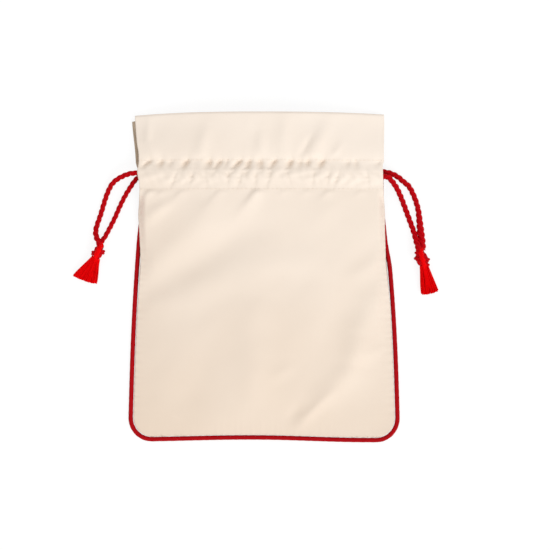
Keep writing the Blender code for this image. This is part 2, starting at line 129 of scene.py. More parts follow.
# %% The finish
class Finish:
    """A Principled material whose patterns are written as expressions."""

    def __init__(self, name, colour, roughness):
        self.material = bpy.data.materials.new(name)
        self.material.use_nodes = True
        self.tree = self.material.node_tree
        self.surface = self.tree.nodes["Principled BSDF"]
        self.surface.inputs["Base Color"].default_value = (*colour, 1)
        self.surface.inputs["Roughness"].default_value = roughness

    def node(self, kind, settings, inputs, output):
        """Adds one node: its settings first, then a value or a link for each named socket."""
        made = self.tree.nodes.new(kind)
        for key, value in settings.items():
            setattr(made, key, value)
        for key, value in inputs.items():
            self.feed(made.inputs[key], value)
        return Pattern(self, made.outputs[output])

    def feed(self, socket, value):
        if isinstance(value, Pattern):
            self.tree.links.new(value.socket, socket)
        else:
            socket.default_value = value

    def maths(self, operation, first, second):
        return self.node("ShaderNodeMath", {"operation": operation}, {0: first, 1: second}, 0)

    def coordinates(self, output):
        return self.node("ShaderNodeTexCoord", {}, {}, output)

    def parts(self, vector):
        """The X, Y and Z of a vector as three patterns."""
        made = self.tree.nodes.new("ShaderNodeSeparateXYZ")
        self.feed(made.inputs[0], vector)
        return [Pattern(self, socket) for socket in made.outputs]

    def noise(self, vector, scale, detail):
        inputs = {"Vector": vector, "Scale": scale, "Detail": detail}
        return self.node("ShaderNodeTexNoise", {}, inputs, "Fac")

    def mixed(self, share, first, second):
        """A colour between two others, each of them a pattern or three numbers."""
        first, second = (pick if isinstance(pick, Pattern) else (*pick, 1) for pick in (first, second))
        return self.node("ShaderNodeMix", {"data_type": "RGBA"}, {0: share, 6: first, 7: second}, 2)

    def bump(self, height, distance, strength):
        inputs = {"Height": height, "Distance": distance, "Strength": strength}
        self.feed(self.surface.inputs["Normal"], self.node("ShaderNodeBump", {}, inputs, "Normal"))

    def colour(self, pattern):
        self.feed(self.surface.inputs["Base Color"], pattern)

    def roughness(self, pattern):
        self.feed(self.surface.inputs["Roughness"], pattern)


TURN = 2 * math.pi

# %% [markdown]
# The red of the cords
#
# The drawcords are plied rayon: three plies twisted together, each of many fine yarns. The plies are real
# shape in the mesh. The yarns are too fine for that, so they are a bump that runs slanting along each
# ply, read from the cord's own UV map, whose first number turns with the plies and second counts
# diameters along. The tassels are the same yarns combed loose, which look brighter, and the piping is a
# darker woven cloth.

# %% Red cord, red thread and red piping finishes
CORD_RED = (0.690, 0.002, 0.006)
CORD_DARK = (0.400, 0.000, 0.004)
THREAD_RED = (0.900, 0.001, 0.002)
THREAD_DARK = (0.760, 0.000, 0.001)
PIPING_RED = (0.500, 0.004, 0.008)
PIPING_DARK = (0.350, 0.002, 0.005)
YARNS_AROUND = 27
YARN_TURNS = 1.2
PIPING_WARPS_AROUND = 26
PIPING_WEFTS_ALONG = 8

cord_finish = Finish("red_cord", CORD_RED, 0.52)
cord_uv = cord_finish.parts(cord_finish.coordinates("UV"))
yarns = (cord_uv[0] * (TURN * YARNS_AROUND) + cord_uv[1] * (TURN * YARN_TURNS)).wave()
lint = cord_finish.noise(cord_finish.coordinates("Object"), 900.0, 3.0)
cord_finish.colour(cord_finish.mixed((yarns * 0.55 + lint * 0.45).clipped(), CORD_DARK, CORD_RED))
cord_finish.bump(yarns * 0.8 + lint * 0.5, 0.00016, 0.7)
cord_finish.surface.inputs["Specular IOR Level"].default_value = 0.05

thread_finish = Finish("red_tassel_thread", THREAD_RED, 0.50)
strands_noise = thread_finish.noise(thread_finish.coordinates("Object"), 420.0, 2.0)
thread_finish.colour(thread_finish.mixed(strands_noise, THREAD_DARK, THREAD_RED))
thread_finish.bump(strands_noise, 0.0001, 0.4)
thread_finish.surface.inputs["Specular IOR Level"].default_value = 0.03

piping_finish = Finish("red_piping", PIPING_RED, 0.58)
piping_uv = piping_finish.parts(piping_finish.coordinates("UV"))
piping_warp = (piping_uv[0] * (TURN * PIPING_WARPS_AROUND)).wave()
piping_weft = (piping_uv[1] * (TURN * PIPING_WEFTS_ALONG)).wave()
piping_cloud = piping_finish.noise(piping_finish.coordinates("Object"), 260.0, 4.0)
piping_finish.colour(piping_finish.mixed(piping_cloud, PIPING_DARK, PIPING_RED))
piping_finish.bump(piping_warp * piping_weft + piping_cloud * 0.6, 0.00010, 0.6)
piping_finish.surface.inputs["Specular IOR Level"].default_value = 0.05
print("red finishes:", cord_finish.material.name, thread_finish.material.name, piping_finish.material.name)

# %% [markdown]
# The cream satin
#
# Satin shows its warp: long smooth floats with hardly any weft between them. It has a soft gloss, and its
# weave is drawn a little coarser than the real one, with two or three threads to the millimetre. The
# sheet's UV map is in metres along the cloth, so the weave follows the cloth round its folds and pleats.
# The colour drifts from a clear cream at the header to a warmer, darker one at the lower left, as the
# photograph shows. That drift is painted shade, and a soft random tone and the weave vary it a little. Deep
# in a tuck, light goes from wall to wall and comes out more tan. Each sheet therefore carries an attribute
# called painted_shade, which mixes in a shaded cream as painted shade. It is 0 in the open, and more in the
# tucks, in the shadow on the rear header's left strip and at the upper right of the body.

# %% Cream satin and sewing thread finishes
CREAM = (0.962, 0.850, 0.742)
WARM_TONE_AND_SHADE_CREAM = (0.815, 0.672, 0.540)
# SHADED_CREAM is the colour of the painted shade.
SHADED_CREAM = (0.430, 0.310, 0.190)
WARP_PITCH = 0.00034
WEFT_PITCH = 0.00052
# These three numbers set painted shade: the cream grows darker and warmer towards the bottom and the left.
SHADE_DRIFT_AT_ORIGIN = 0.45
SHADE_DRIFT_DOWNWARD = 4.5
SHADE_DRIFT_LEFTWARD = 1.4
SEWING_DARK = (0.86, 0.74, 0.62)
SEWING_CREAM = (0.93, 0.82, 0.71)

satin = Finish("cream_satin", CREAM, 0.50)
cloth_uv = satin.parts(satin.coordinates("UV"))
warp = (cloth_uv[0] * (TURN / WARP_PITCH)).wave()
weft = (cloth_uv[1] * (TURN / WEFT_PITCH) + cloth_uv[0] * (TURN / WARP_PITCH / 5)).wave()
slubs = satin.noise(satin.coordinates("Object"), 240.0, 3.0)
cloud = satin.noise(satin.coordinates("Object"), 14.0, 2.0)
place_x, place_y = satin.parts(satin.coordinates("Object"))[:2]
# drift is painted shade, darker and warmer towards the bottom and the left; the cloud and the weave add
# random tone to it.
drift = SHADE_DRIFT_AT_ORIGIN - place_y * SHADE_DRIFT_DOWNWARD - place_x * SHADE_DRIFT_LEFTWARD
shade_and_tone = drift + (cloud - 0.5) * 0.5 + warp * weft * 0.08
shade_and_tone_colour = satin.mixed(shade_and_tone.clipped(), CREAM, WARM_TONE_AND_SHADE_CREAM)
# The sheet's painted_shade attribute mixes painted shade into the satin's colour.
painted_shade = satin.node("ShaderNodeAttribute", {"attribute_name": "painted_shade"}, {}, "Fac")
satin.colour(satin.mixed(painted_shade, shade_and_tone_colour, SHADED_CREAM))
satin.roughness(0.46 + slubs * 0.12)
satin.bump(warp * 0.55 + weft * 0.45 + slubs * 0.5, 0.00006, 0.55)
satin.surface.inputs["Sheen Weight"].default_value = 0.10
satin.surface.inputs["Sheen Roughness"].default_value = 0.35
satin.surface.inputs["Specular IOR Level"].default_value = 0.35

sewing = Finish("cream_thread", SEWING_CREAM, 0.55)
sewing_grain = sewing.noise(sewing.coordinates("Object"), 1500.0, 2.0)
sewing.bump(sewing_grain, 0.00005, 0.5)
sewing.colour(sewing.mixed(sewing_grain, SEWING_DARK, SEWING_CREAM))
print("cream finishes:", satin.material.name, sewing.material.name)

# %% [markdown]
# From a grid to a sheet or a tube
#
# Cloth and cords are both grids: a sheet is a grid laid in space, and a tube is a grid rolled up along a
# line. `laid_grid` starts from Blender's own grid, puts each point in its place and writes the UV map.
# `rolled` joins the two long edges, and closing the ends makes a solid tube.

# %% Grid helpers
def laid_grid(places, uv, painted_shades=None):
    """A bmesh grid whose points lie at places[row, column], with uv[row, column] as its UV map."""
    rows, columns = places.shape[:2]
    shape = bmesh.new()
    layer = shape.loops.layers.uv.new("UVMap")
    painted_shade_layer = shape.verts.layers.float.new("painted_shade")
    bmesh.ops.create_grid(shape, x_segments=columns - 1, y_segments=rows - 1, size=1)
    for vert in shape.verts:
        column = round((vert.co.x + 1) / 2 * (columns - 1))
        row = round((vert.co.y + 1) / 2 * (rows - 1))
        vert.co = places[row, column]
        vert.index = row * columns + column
        if painted_shades is not None:
            vert[painted_shade_layer] = painted_shades[row, column]
    flat_uv = uv.reshape(-1, 2)
    for face in shape.faces:
        for loop in face.loops:
            loop[layer].uv = flat_uv[loop.vert.index]
    return shape


def rolled(shape, within):
    """Closes a grid whose first and last columns lie together into a tube with capped ends."""
    bmesh.ops.remove_doubles(shape, verts=shape.verts, dist=within)
    rims = [edge for edge in shape.edges if edge.is_boundary]
    bmesh.ops.holes_fill(shape, edges=rims, sides=0)
    bmesh.ops.recalc_face_normals(shape, faces=shape.faces)


trial = laid_grid(np.zeros((3, 4, 3)), np.zeros((3, 4, 2)))
print("a grid of 3 by 4 points has", len(trial.faces), "faces")
trial.free()

# %% [markdown]
# A piece of the pouch
#
# They say that it moves with the pouch and which nodes of the imported model it stands for. The stitches
# stand for none, because the imported model leaves them out.

# %% The piece helper
def piece(name, shape, finish, slot, *nodes):
    """Turns a bmesh into a smooth piece that rides with the pouch and stands for its CAD nodes."""
    mesh = bpy.data.meshes.new(name)
    shape.to_mesh(mesh)
    shape.free()
    mesh.shade_smooth()
    mesh.materials.append(finish.material)
    made = bpy.data.objects.new(name, mesh)
    bpy.context.scene.collection.objects.link(made)
    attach(made, ROOT)
    if nodes:
        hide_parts(*nodes)
    print(name, "has", len(mesh.polygons), "faces")
    return made


# %% [markdown]
# Smooth lines for the cords
#
# A limp cord lies in soft curves. Its route is a short list of places read from the photograph, and a
# smooth curve is drawn through them. The same curve is then cut into even steps, so that the twist is
# even too.

# %% Line helpers
CURVE_STEPS = 40


def smooth_line(route, spacing):
    """Evenly spaced points on a smooth curve through a route."""
    knots = np.array(route, dtype=float)
    before = np.vstack([2 * knots[0] - knots[1], knots[:-1]])
    after = np.vstack([knots[1:], 2 * knots[-1] - knots[-2]])
    pull = (after - before) / 6
    share = np.linspace(0, 1, CURVE_STEPS, endpoint=False)[:, None]
    fine = []
    for number in range(len(knots) - 1):
        start, end = knots[number], knots[number + 1]
        leave, arrive = start + pull[number], end - pull[number + 1]
        fine.append(
            (1 - share) ** 3 * start
            + 3 * (1 - share) ** 2 * share * leave
            + 3 * (1 - share) * share**2 * arrive
            + share**3 * end
        )
    fine = np.vstack(fine + [knots[-1:]])
    run = np.concatenate([[0], np.cumsum(np.linalg.norm(np.diff(fine, axis=0), axis=1))])
    even = np.linspace(0, run[-1], max(3, round(run[-1] / spacing) + 1))
    return np.stack([np.interp(even, run, fine[:, axis]) for axis in range(3)], axis=1)


def run_of(line):
    """Distance along a line at each of its points."""
    return np.concatenate([[0], np.cumsum(np.linalg.norm(np.diff(line, axis=0), axis=1))])


def directions(line):
    """Two unit vectors across a line at each point, carried along it without twisting."""
    along = np.gradient(line, axis=0)
    along /= np.linalg.norm(along, axis=1)[:, None]
    across = np.zeros_like(line)
    first = np.cross(along[0], (0.0, 0.0, 1.0))
    if np.linalg.norm(first) < 0.1:
        first = np.cross(along[0], (1.0, 0.0, 0.0))
    across[0] = first / np.linalg.norm(first)
    for number in range(1, len(line)):
        carried = across[number - 1] - along[number] * np.dot(across[number - 1], along[number])
        across[number] = carried / np.linalg.norm(carried)
    return across, np.cross(across, along)


# %% [markdown]
# A tube along a line
#
# Cords and piping are tubes. A tube is a grid rolled round its line: at each step along it, a ring of
# points stands off the line by a reach that may change along it and around it. Nothing sinks into the
# table, so a soft cord goes flat where it lies on it.

# %% The swept tube
WELD_SHARE = 1 / 3000


def swept_tube(line, around, reach, turns, diameter):
    """A closed tube. Its reach is given along and around, and turns is the first number of its UV map."""
    across, up = directions(line)
    ring = np.cos(around)[None, :, None] * across[:, None, :] + np.sin(around)[None, :, None] * up[:, None, :]
    places = line[:, None, :] + reach[..., None] * ring
    places[..., 2] = np.maximum(places[..., 2], 0)
    places[:, -1] = places[:, 0]
    uv = np.zeros(places.shape[:2] + (2,))
    uv[..., 0] = turns
    uv[..., 1] = run_of(line)[:, None] / diameter
    shape = laid_grid(places, uv)
    rolled(shape, diameter * WELD_SHARE)
    return shape


# %% [markdown]
# A plied cord
#
# Seen from its end, a three-ply cord is three round plies packed together. The outline of those three
# circles is swept along the line while it turns, one full turn each 11 mm, which leaves the notches that
# the photograph shows about every 4 mm along the cord's edge.

# %% The plied cord
CORD = 0.0030
PLIES = 3
LAY_OF_TWIST = 0.0109
PLY_RADIUS_SHARE = 0.52


def plied_tube(line, diameter, sides, swell=1.0):
    """A bmesh of a plied cord along a line; swell widens it, as one number or point by point."""
    around = np.linspace(0, TURN, sides * PLIES + 1)
    twist = TURN * run_of(line) / LAY_OF_TWIST
    step = TURN / PLIES
    local = (around[None, :] - twist[:, None] + step / 2) % step - step / 2
    offset = 1 - PLY_RADIUS_SHARE
    outline = offset * np.cos(local) + np.sqrt(PLY_RADIUS_SHARE**2 - (offset * np.sin(local)) ** 2)
    radius = diameter / 2 * np.broadcast_to(swell, len(line))
    turns = (around[None, :] - twist[:, None]) / TURN
    return swept_tube(line, around, radius[:, None] * outline, turns, diameter)


# %% [markdown]
# The four free strands
#
# Each drawcord leaves the casing as two strands. They come out of the side of the casing, sink to the table
# within three centimetres, and lie along it to the knot, where the twist opens and they rise into it. Their
# routes are given lists of places, because a limp cord follows no formula.

# %% Routes of the free strands
GAP = 0.0003
LEFT_KNOT = (-0.1036, 0.02005)
RIGHT_KNOT = (0.0987, 0.01645)
LEFT_UPPER_ROUTE = (
    (-0.0811, 0.06535, 0.0076), (-0.0850, 0.06495, 0.0067), (-0.0893, 0.06345, 0.0055),
    (-0.0934, 0.06125, 0.0042), (-0.0964, 0.05845, 0.0030), (-0.0985, 0.05485, 0.0021),
    (-0.1003, 0.05045, 0.0017), (-0.1018, 0.04555, 0.0016), (-0.1037, 0.03925, 0.0016),
    (-0.1056, 0.03365, 0.0018), (-0.1066, 0.02965, 0.0024), (-0.1064, 0.02625, 0.0035),
    (-0.1052, 0.02325, 0.0049), (-0.1042, 0.02165, 0.0056),
)
LEFT_LOWER_ROUTE = (
    (-0.0808, 0.06205, 0.0023), (-0.0848, 0.05675, 0.0019), (-0.0882, 0.05115, 0.0016),
    (-0.0914, 0.04475, 0.0016), (-0.0945, 0.03765, 0.0016), (-0.0977, 0.03125, 0.0016),
    (-0.1006, 0.02585, 0.0017), (-0.1024, 0.02315, 0.0020), (-0.1032, 0.02165, 0.0022),
)
RIGHT_UPPER_ROUTE = (
    (0.0795, 0.06575, 0.0024), (0.0844, 0.06355, 0.0022), (0.0882, 0.06045, 0.0019),
    (0.0917, 0.05745, 0.0017), (0.0944, 0.05265, 0.0016), (0.0965, 0.04715, 0.0016),
    (0.0978, 0.04195, 0.0017), (0.0984, 0.03695, 0.0019), (0.0991, 0.02965, 0.0020),
    (0.0997, 0.02235, 0.0021), (0.0998, 0.01825, 0.0023),
)
RIGHT_LOWER_ROUTE = (
    (0.0781, 0.06285, 0.0076), (0.0811, 0.05995, 0.0066), (0.0838, 0.05625, 0.0050),
    (0.0862, 0.05165, 0.0032), (0.0885, 0.04605, 0.0019), (0.0908, 0.03985, 0.0016),
    (0.0930, 0.03385, 0.0017), (0.0950, 0.02805, 0.0022), (0.0964, 0.02235, 0.0036),
    (0.0972, 0.01915, 0.0049), (0.0975, 0.01825, 0.0054),
)
routes = (LEFT_UPPER_ROUTE, LEFT_LOWER_ROUTE, RIGHT_UPPER_ROUTE, RIGHT_LOWER_ROUTE)
print("points of the routes:", [len(route) for route in routes])

# %% [markdown]
# From a route to a free cord
#
# Each strand starts inside the mouth of the casing, follows its route and ends in the knot. It is a mesh, and
# its length is printed. The right strands are a little fuller, and where a twist opens it grows fuller yet.

STRAND_STEP = 0.0003
STRAND_SIDES = 9


def strand(node, start, route, knot_top, fullness, swelling):
    """One free strand. Swelling is the height at which its twist starts to open, and by how much it does."""
    end = (route[-1][0], knot_top[1] + GAP, route[-1][2])
    line = smooth_line([start, *route, end], STRAND_STEP)
    line[:, 2] = np.maximum(line[:, 2], CORD / 2)
    swell_from, swell_by = swelling
    share = np.clip((swell_from - line[:, 1]) / (swell_from - knot_top[1]), 0, 1)
    swell = fullness * (1 + swell_by * share * share * (3 - 2 * share))
    tube = plied_tube(line, CORD, STRAND_SIDES, swell)
    made = piece(node + "_twist", tube, cord_finish, "red_cord", node)
    print(node, "is", round(run_of(line)[-1] * 1000, 1), "mm long")
    return tuple(line[-1])


CASING_MOUTH_LEFT = -0.0771
CASING_MOUTH_RIGHT = 0.0743
LEG_HIGH = 0.0078
LEG_LOW = 0.0024
LEG_UPPER_Y = 0.06665
LEG_LOWER_Y = 0.06185
LEFT_UPPER_DROP = 0.0018
LEFT_LOWER_RISE = 0.0010
RIGHT_LOWER_RISE = 0.0012
left_upper = (CASING_MOUTH_LEFT, LEG_UPPER_Y - LEFT_UPPER_DROP, LEG_HIGH)
left_lower = (CASING_MOUTH_LEFT, LEG_LOWER_Y + LEFT_LOWER_RISE, LEG_LOW)
right_upper = (CASING_MOUTH_RIGHT, LEG_UPPER_Y, LEG_LOW)
right_lower = (CASING_MOUTH_RIGHT, LEG_LOWER_Y + RIGHT_LOWER_RISE, LEG_HIGH)
left_ends = (
    strand("left_strand_upper", left_upper, LEFT_UPPER_ROUTE, LEFT_KNOT, 1.16, (0.036, 0.14)),
    strand("left_strand_lower", left_lower, LEFT_LOWER_ROUTE, LEFT_KNOT, 1.10, (0.030, 0.0)),
)
right_ends = (
    strand("right_strand_upper", right_upper, RIGHT_UPPER_ROUTE, RIGHT_KNOT, 1.24, (0.047, 0.55)),
    strand("right_strand_lower", right_lower, RIGHT_LOWER_ROUTE, RIGHT_KNOT, 1.24, (0.030, 0.10)),
)

# %% [markdown]
# The floor and the light
#
# The pouch was photographed on white, in light so soft that it hardly casts a shadow. Its folds are a
# little brighter on their lower right sides, so a sun with a wide angle stands low there and gives a
# fifth of the light. The world gives the rest. The camera sees the floor as white by way of the Light
# Path node, with part of the floor's own shading kept, so that the pouch still casts its shadow.

# %% Floor, world and sun
WORLD_STRENGTH = 0.79
SUN_STRENGTH = 1.15
SUN_ANGLE = math.radians(32)
SUN_PLACE = (0.64, -0.84, 0.84)
FLOOR_SIDE = 3.0
FLOOR_WHITE_SHARE = 0.80
FLOOR_GLOW = 1.06

floor_shape = bmesh.new()
bmesh.ops.create_grid(floor_shape, x_segments=1, y_segments=1, size=FLOOR_SIDE)
floor_mesh = bpy.data.meshes.new("floor")
floor_shape.to_mesh(floor_mesh)
floor_shape.free()
floor = bpy.data.objects.new("floor", floor_mesh)
bpy.context.scene.collection.objects.link(floor)

floor_finish = Finish("white_floor", (0.90, 0.90, 0.90), 0.9)
floor_nodes = floor_finish.tree.nodes
floor_links = floor_finish.tree.links
light_path = floor_nodes.new("ShaderNodeLightPath")
glow = floor_nodes.new("ShaderNodeEmission")
blend = floor_nodes.new("ShaderNodeMixShader")
seen = Pattern(floor_finish, light_path.outputs["Is Camera Ray"])
for ray in ("Is Glossy Ray", "Is Transmission Ray"):
    seen = seen + Pattern(floor_finish, light_path.outputs[ray])
floor_finish.feed(blend.inputs["Fac"], seen.clipped() * FLOOR_WHITE_SHARE)
glow.inputs["Strength"].default_value = FLOOR_GLOW
floor_links.new(floor_finish.surface.outputs["BSDF"], blend.inputs[1])
floor_links.new(glow.outputs["Emission"], blend.inputs[2])
floor_links.new(blend.outputs["Shader"], floor_nodes["Material Output"].inputs["Surface"])
floor_mesh.materials.append(floor_finish.material)

world = bpy.data.worlds.new("world")
world.use_nodes = True
world.node_tree.nodes["Background"].inputs["Color"].default_value = (1, 1, 1, 1)
world.node_tree.nodes["Background"].inputs["Strength"].default_value = WORLD_STRENGTH
bpy.context.scene.world = world

sun_data = bpy.data.lights.new("low_sun", "SUN")
sun_data.energy = SUN_STRENGTH
sun_data.angle = SUN_ANGLE
sun = bpy.data.objects.new("low_sun", sun_data)
sun.location = SUN_PLACE
sun.rotation_euler = (-Vector(SUN_PLACE)).to_track_quat("-Z", "Y").to_euler()
bpy.context.scene.collection.objects.link(sun)
bpy.context.scene.view_settings.view_transform = "Standard"
print("sun", SUN_STRENGTH, "and world", WORLD_STRENGTH)

# %% [markdown]
# The pouch's outline
#
# The pouch is widest at its bottom and draws in towards the neck, with round bottom corners. Its header
# flares a little and leans to the left, and its two upper corners sink. All sizes are in metres, and
# heights along Y are worked out from the top edge down: header, casing, body.

# %% Outline sizes
POUCH_LENGTH = 0.2079
BOTTOM_WIDTH = 0.1722
NECK_WIDTH = 0.1544
HEADER_WIDTH = 0.1570
CORNER_RADIUS = 0.0150
SIDE_BELLY = 0.0016
HEADER_LEAN = -0.0026
LEFT_CORNER_DROP = 0.0019
RIGHT_CORNER_DROP = 0.0011
HEADER_HEIGHT = 0.0306
CASING_HEIGHT = 0.0182
HEM = 0.0020
CLOTH = 0.0006
PIPING = 0.0030
PIPING_TOP_DROP = 0.0079
PIPING_COVERED_DROP = 0.0132
PIPING_BARE_DROP = 0.0532

TOP = POUCH_LENGTH / 2
BOTTOM = -POUCH_LENGTH / 2
UPPER_STITCH = TOP - HEADER_HEIGHT
LOWER_STITCH = UPPER_STITCH - CASING_HEIGHT
CASING_MIDDLE = (UPPER_STITCH + LOWER_STITCH) / 2
PIPING_TOP = LOWER_STITCH - PIPING_TOP_DROP
PIPING_COVERED = LOWER_STITCH - PIPING_COVERED_DROP
PIPING_BARE = LOWER_STITCH - PIPING_BARE_DROP
SEAM_INSET = PIPING + GAP
print("casing from", round(LOWER_STITCH, 4), "to", round(UPPER_STITCH, 4))

# %% [markdown]
# The outline at any height
#
# A few functions give the outline for numbers or whole arrays, so that sheets, piping and stitches all
# follow the same one. A place across a panel is written as t, from -1 at its left side to 1 at its right.
# Along the lower sides the front sheet ends beside the piping, and higher up it widens until it covers
# it. The bottom edge isn't ruled either: it rides up at its middle and hangs at its ends.

# %% Outline functions
BOW_HEIGHT = 0.0006
BOW_MIDDLE = -0.010
BOW_REACH = 0.075
RIGHT_SAG = 0.0005
RIGHT_SAG_REACH = 0.070
BOW_FADE = 0.030


def rise(low, high, value):
    """0 below low, 1 above high, and a smooth rise between them."""
    share = np.clip((value - low) / (high - low), 0, 1)
    return share * share * (3 - 2 * share)


def between(first, second, share):
    return first + (second - first) * share


def half_width(y):
    corner = BOTTOM + CORNER_RADIUS
    share = np.clip((y - corner) / (LOWER_STITCH - corner), 0, 1)
    body = between(BOTTOM_WIDTH, NECK_WIDTH, share) / 2 + SIDE_BELLY * np.sin(math.pi * share)
    return body + (HEADER_WIDTH - NECK_WIDTH) / 2 * rise(UPPER_STITCH, TOP, y)


def lean(y):
    return HEADER_LEAN * np.clip((y - BOTTOM) / POUCH_LENGTH, 0, None) ** 3


def corner_cut(y):
    """How far the round bottom corner draws a panel's side in."""
    radius = CORNER_RADIUS - SEAM_INSET
    below = np.clip(BOTTOM + SEAM_INSET + radius - y, 0, radius)
    return radius - np.sqrt(radius**2 - below**2)


def front_half(y):
    inset = SEAM_INSET * (1 - rise(PIPING_BARE, PIPING_COVERED, y))
    return half_width(y) - inset - corner_cut(y)


def top_drop(t, y):
    """How far the header sinks towards its two upper corners."""
    drop = LEFT_CORNER_DROP * np.clip(-t, 0, 1) ** 3 + RIGHT_CORNER_DROP * np.clip(t, 0, 1) ** 3
    return drop * np.clip((y - UPPER_STITCH) / HEADER_HEIGHT, 0, 1)


def bottom_bow(x, y):
    """How far the bottom edge rides up at its middle and hangs at its two ends, lowest at the right."""
    bow = BOW_HEIGHT * np.cos(math.pi * np.clip((x - BOW_MIDDLE) / BOW_REACH, -1, 1))
    bow = bow - RIGHT_SAG * rise(0, RIGHT_SAG_REACH, x)
    return bow * (1 - rise(BOTTOM, BOTTOM + BOW_FADE, y))


print("half the width at the neck:", round(float(front_half(LOWER_STITCH)), 4))

# %% [markdown]
# How high the cloth stands
#
# The empty pouch keeps a little air: a low crown that starts at the seams. At the neck the cloth has to
# pass over two cords in each casing, so the rear casing's height lifts the whole front panel. The front
# panel's inner layer arches over the mouth, and its outer layer lies on that in the header, stands off it
# in the casing and runs on alone as the body. The casing puffs out between its two rows of stitches.

# %% Levels of the front panel
CORD_ROOM = CORD + 2 * GAP + CLOTH
REAR_PUFF = 1.06
CASING_PUFF = 0.91
UPPER_ROW_HEIGHT = 0.0023
LOWER_ROW_HEIGHT = 0.0026
LAYER = CLOTH + GAP
TUNNEL = CORD_ROOM * CASING_PUFF
REAR_LEVEL = CLOTH / 2
FRONT_LEVEL = REAR_LEVEL + REAR_PUFF * CORD_ROOM + LAYER
HEADER_LEVEL = REAR_LEVEL + 2 * LAYER
FRONT_SEAM_LEVEL = PIPING / 2 + LAYER / 2
OVER_PIPING_LEVEL = PIPING + GAP + CLOTH / 2
SEAM_RISE = 0.024
BODY_LOFT = 0.0118
MOUTH_OPENING = 0.0046
CROWN_REACH = 0.100
CROWN_ROUNDNESS = 2.5


def puff(y):
    """Distance between a casing's two layers, wide enough for the cords."""
    share = np.clip(np.abs(y - CASING_MIDDLE) / (CASING_HEIGHT / 2), 0, 1)
    row_height = np.where(y > CASING_MIDDLE, UPPER_ROW_HEIGHT, LOWER_ROW_HEIGHT)
    return row_height + (TUNNEL - row_height) * (1 + np.cos(math.pi * share)) / 2


def lining_level(t, y):
    side = between(FRONT_LEVEL, HEADER_LEVEL, rise(UPPER_STITCH, TOP, y))
    return between(side, FRONT_LEVEL + MOUTH_OPENING, 1 - t * t)


def body_level(t, y):
    to_neck = rise(PIPING_BARE, LOWER_STITCH, y)
    side = between(FRONT_SEAM_LEVEL, OVER_PIPING_LEVEL, rise(PIPING_BARE - SEAM_RISE, PIPING_BARE, y))
    side = between(side, FRONT_LEVEL + LOWER_ROW_HEIGHT, to_neck)
    climb = np.clip((y - BOTTOM - SEAM_INSET) / CROWN_REACH, 0, 1)
    crown = between(FRONT_SEAM_LEVEL, BODY_LOFT, 1 - (1 - climb) ** CROWN_ROUNDNESS)
    crown = between(crown, FRONT_LEVEL + MOUTH_OPENING + LOWER_ROW_HEIGHT, to_neck)
    return between(side, crown, 1 - t * t)


print("front panel's crown at the neck:", round(float(body_level(0.0, LOWER_STITCH)) * 1000, 1), "mm")

# %% [markdown]
# Gathers
#
# The two rows of stitches gather the cloth. Under the upper row it dips in tucks, which show as short dark
# strokes. Under the lower row it stands up in a few soft pleats that run out into the body, and between the
# rows fine creases cross the casing. Each tuck and pleat is a place along its row, a share of the full depth
# or height, a length in metres and its lean, which says how far it moves to the left for each step down. A
# crease is a place and a lean. All of them were chosen from the photograph.

# %% Tucks, pleats and creases
UPPER_TUCKS = (
    (-0.908, 0.90, 0.0030, 0.90), (-0.813, 0.85, 0.0026, 0.20), (-0.735, 0.35, 0.0030, 0.30),
    (-0.599, 1.05, 0.0040, 0.55), (-0.422, 0.90, 0.0040, 0.10), (-0.330, 0.90, 0.0062, 0.60),
    (-0.282, 0.50, 0.0030, 0.20), (-0.168, 0.95, 0.0064, 0.75), (-0.094, 0.95, 0.0070, 0.30),
    (-0.013, 0.95, 0.0050, -0.15), (0.113, 0.90, 0.0056, 0.60), (0.243, 1.05, 0.0048, 0.35),
    (0.316, 0.60, 0.0042, 0.15), (0.381, 0.80, 0.0028, 0.20), (0.503, 0.90, 0.0042, 0.50),
    (0.706, 0.45, 0.0032, 0.20), (0.763, 0.40, 0.0040, -0.20), (0.959, 0.30, 0.0024, 0.10),
)
LOWER_PLEATS = (
    (-0.900, 1.70, 0.0055, 0.60), (-0.795, 0.80, 0.0060, 0.80), (-0.635, 0.80, 0.0070, 0.75),
    (-0.325, 0.80, 0.0120, 0.74), (-0.030, 1.75, 0.0130, 0.66), (0.185, 0.50, 0.0040, 0.40),
    (0.370, 0.60, 0.0040, 0.40), (0.555, 1.00, 0.0055, 0.70), (0.815, 0.60, 0.0040, 0.50),
)
CASING_CREASES = (
    (-0.460, -0.20), (-0.272, 0.05), (-0.170, 0.25), (-0.048, 0.05), (0.070, 0.30), (0.205, -0.40),
    (0.420, 0.05), (0.545, 0.15), (0.620, 0.30), (-0.560, 0.30), (-0.700, 0.40), (0.860, -0.20),
)
print(len(UPPER_TUCKS), "tucks,", len(LOWER_PLEATS), "pleats and", len(CASING_CREASES), "creases")

# %% [markdown]
# The shape of a gather
#
# Across, a tuck is a smooth dip that is wider on its left than on its right, because cloth leans over as
# it is drawn in. Along, it is full after a millimetre and then fades out. A pleat is the same turned
# upwards, but wider on its right, and it spreads as it runs out. A fine ripple over the casing stands for
# the many small gathers between them.

# %% Height of the gathers
TUCK_WIDTHS = (0.00260, 0.00165)
TUCK_DEPTH = 0.00270
TUCK_RUN_IN = 0.0012
OVER_ROW_SHARE = 0.45
OVER_ROW_REACH = 0.003
PLEAT_HEIGHT = 0.00110
PLEAT_RUN_IN = 0.0020
PLEAT_WIDTHS = (0.0019, 0.0036)
PLEAT_SPREADS = (0.18, 0.34)
CREASE_WIDTHS = (0.00180, 0.00110)
CREASE_DEPTH = 0.00085
CREASE_DROP = 0.0022
CREASE_REACH = 0.0044
RIPPLE_HEIGHT = 0.00026
RIPPLE_REACH = 0.0072
RIPPLE_PITCHES = (0.0093, 0.0056)
RIPPLE_BEND_PITCH = 0.0150
NECK_HALF = NECK_WIDTH / 2


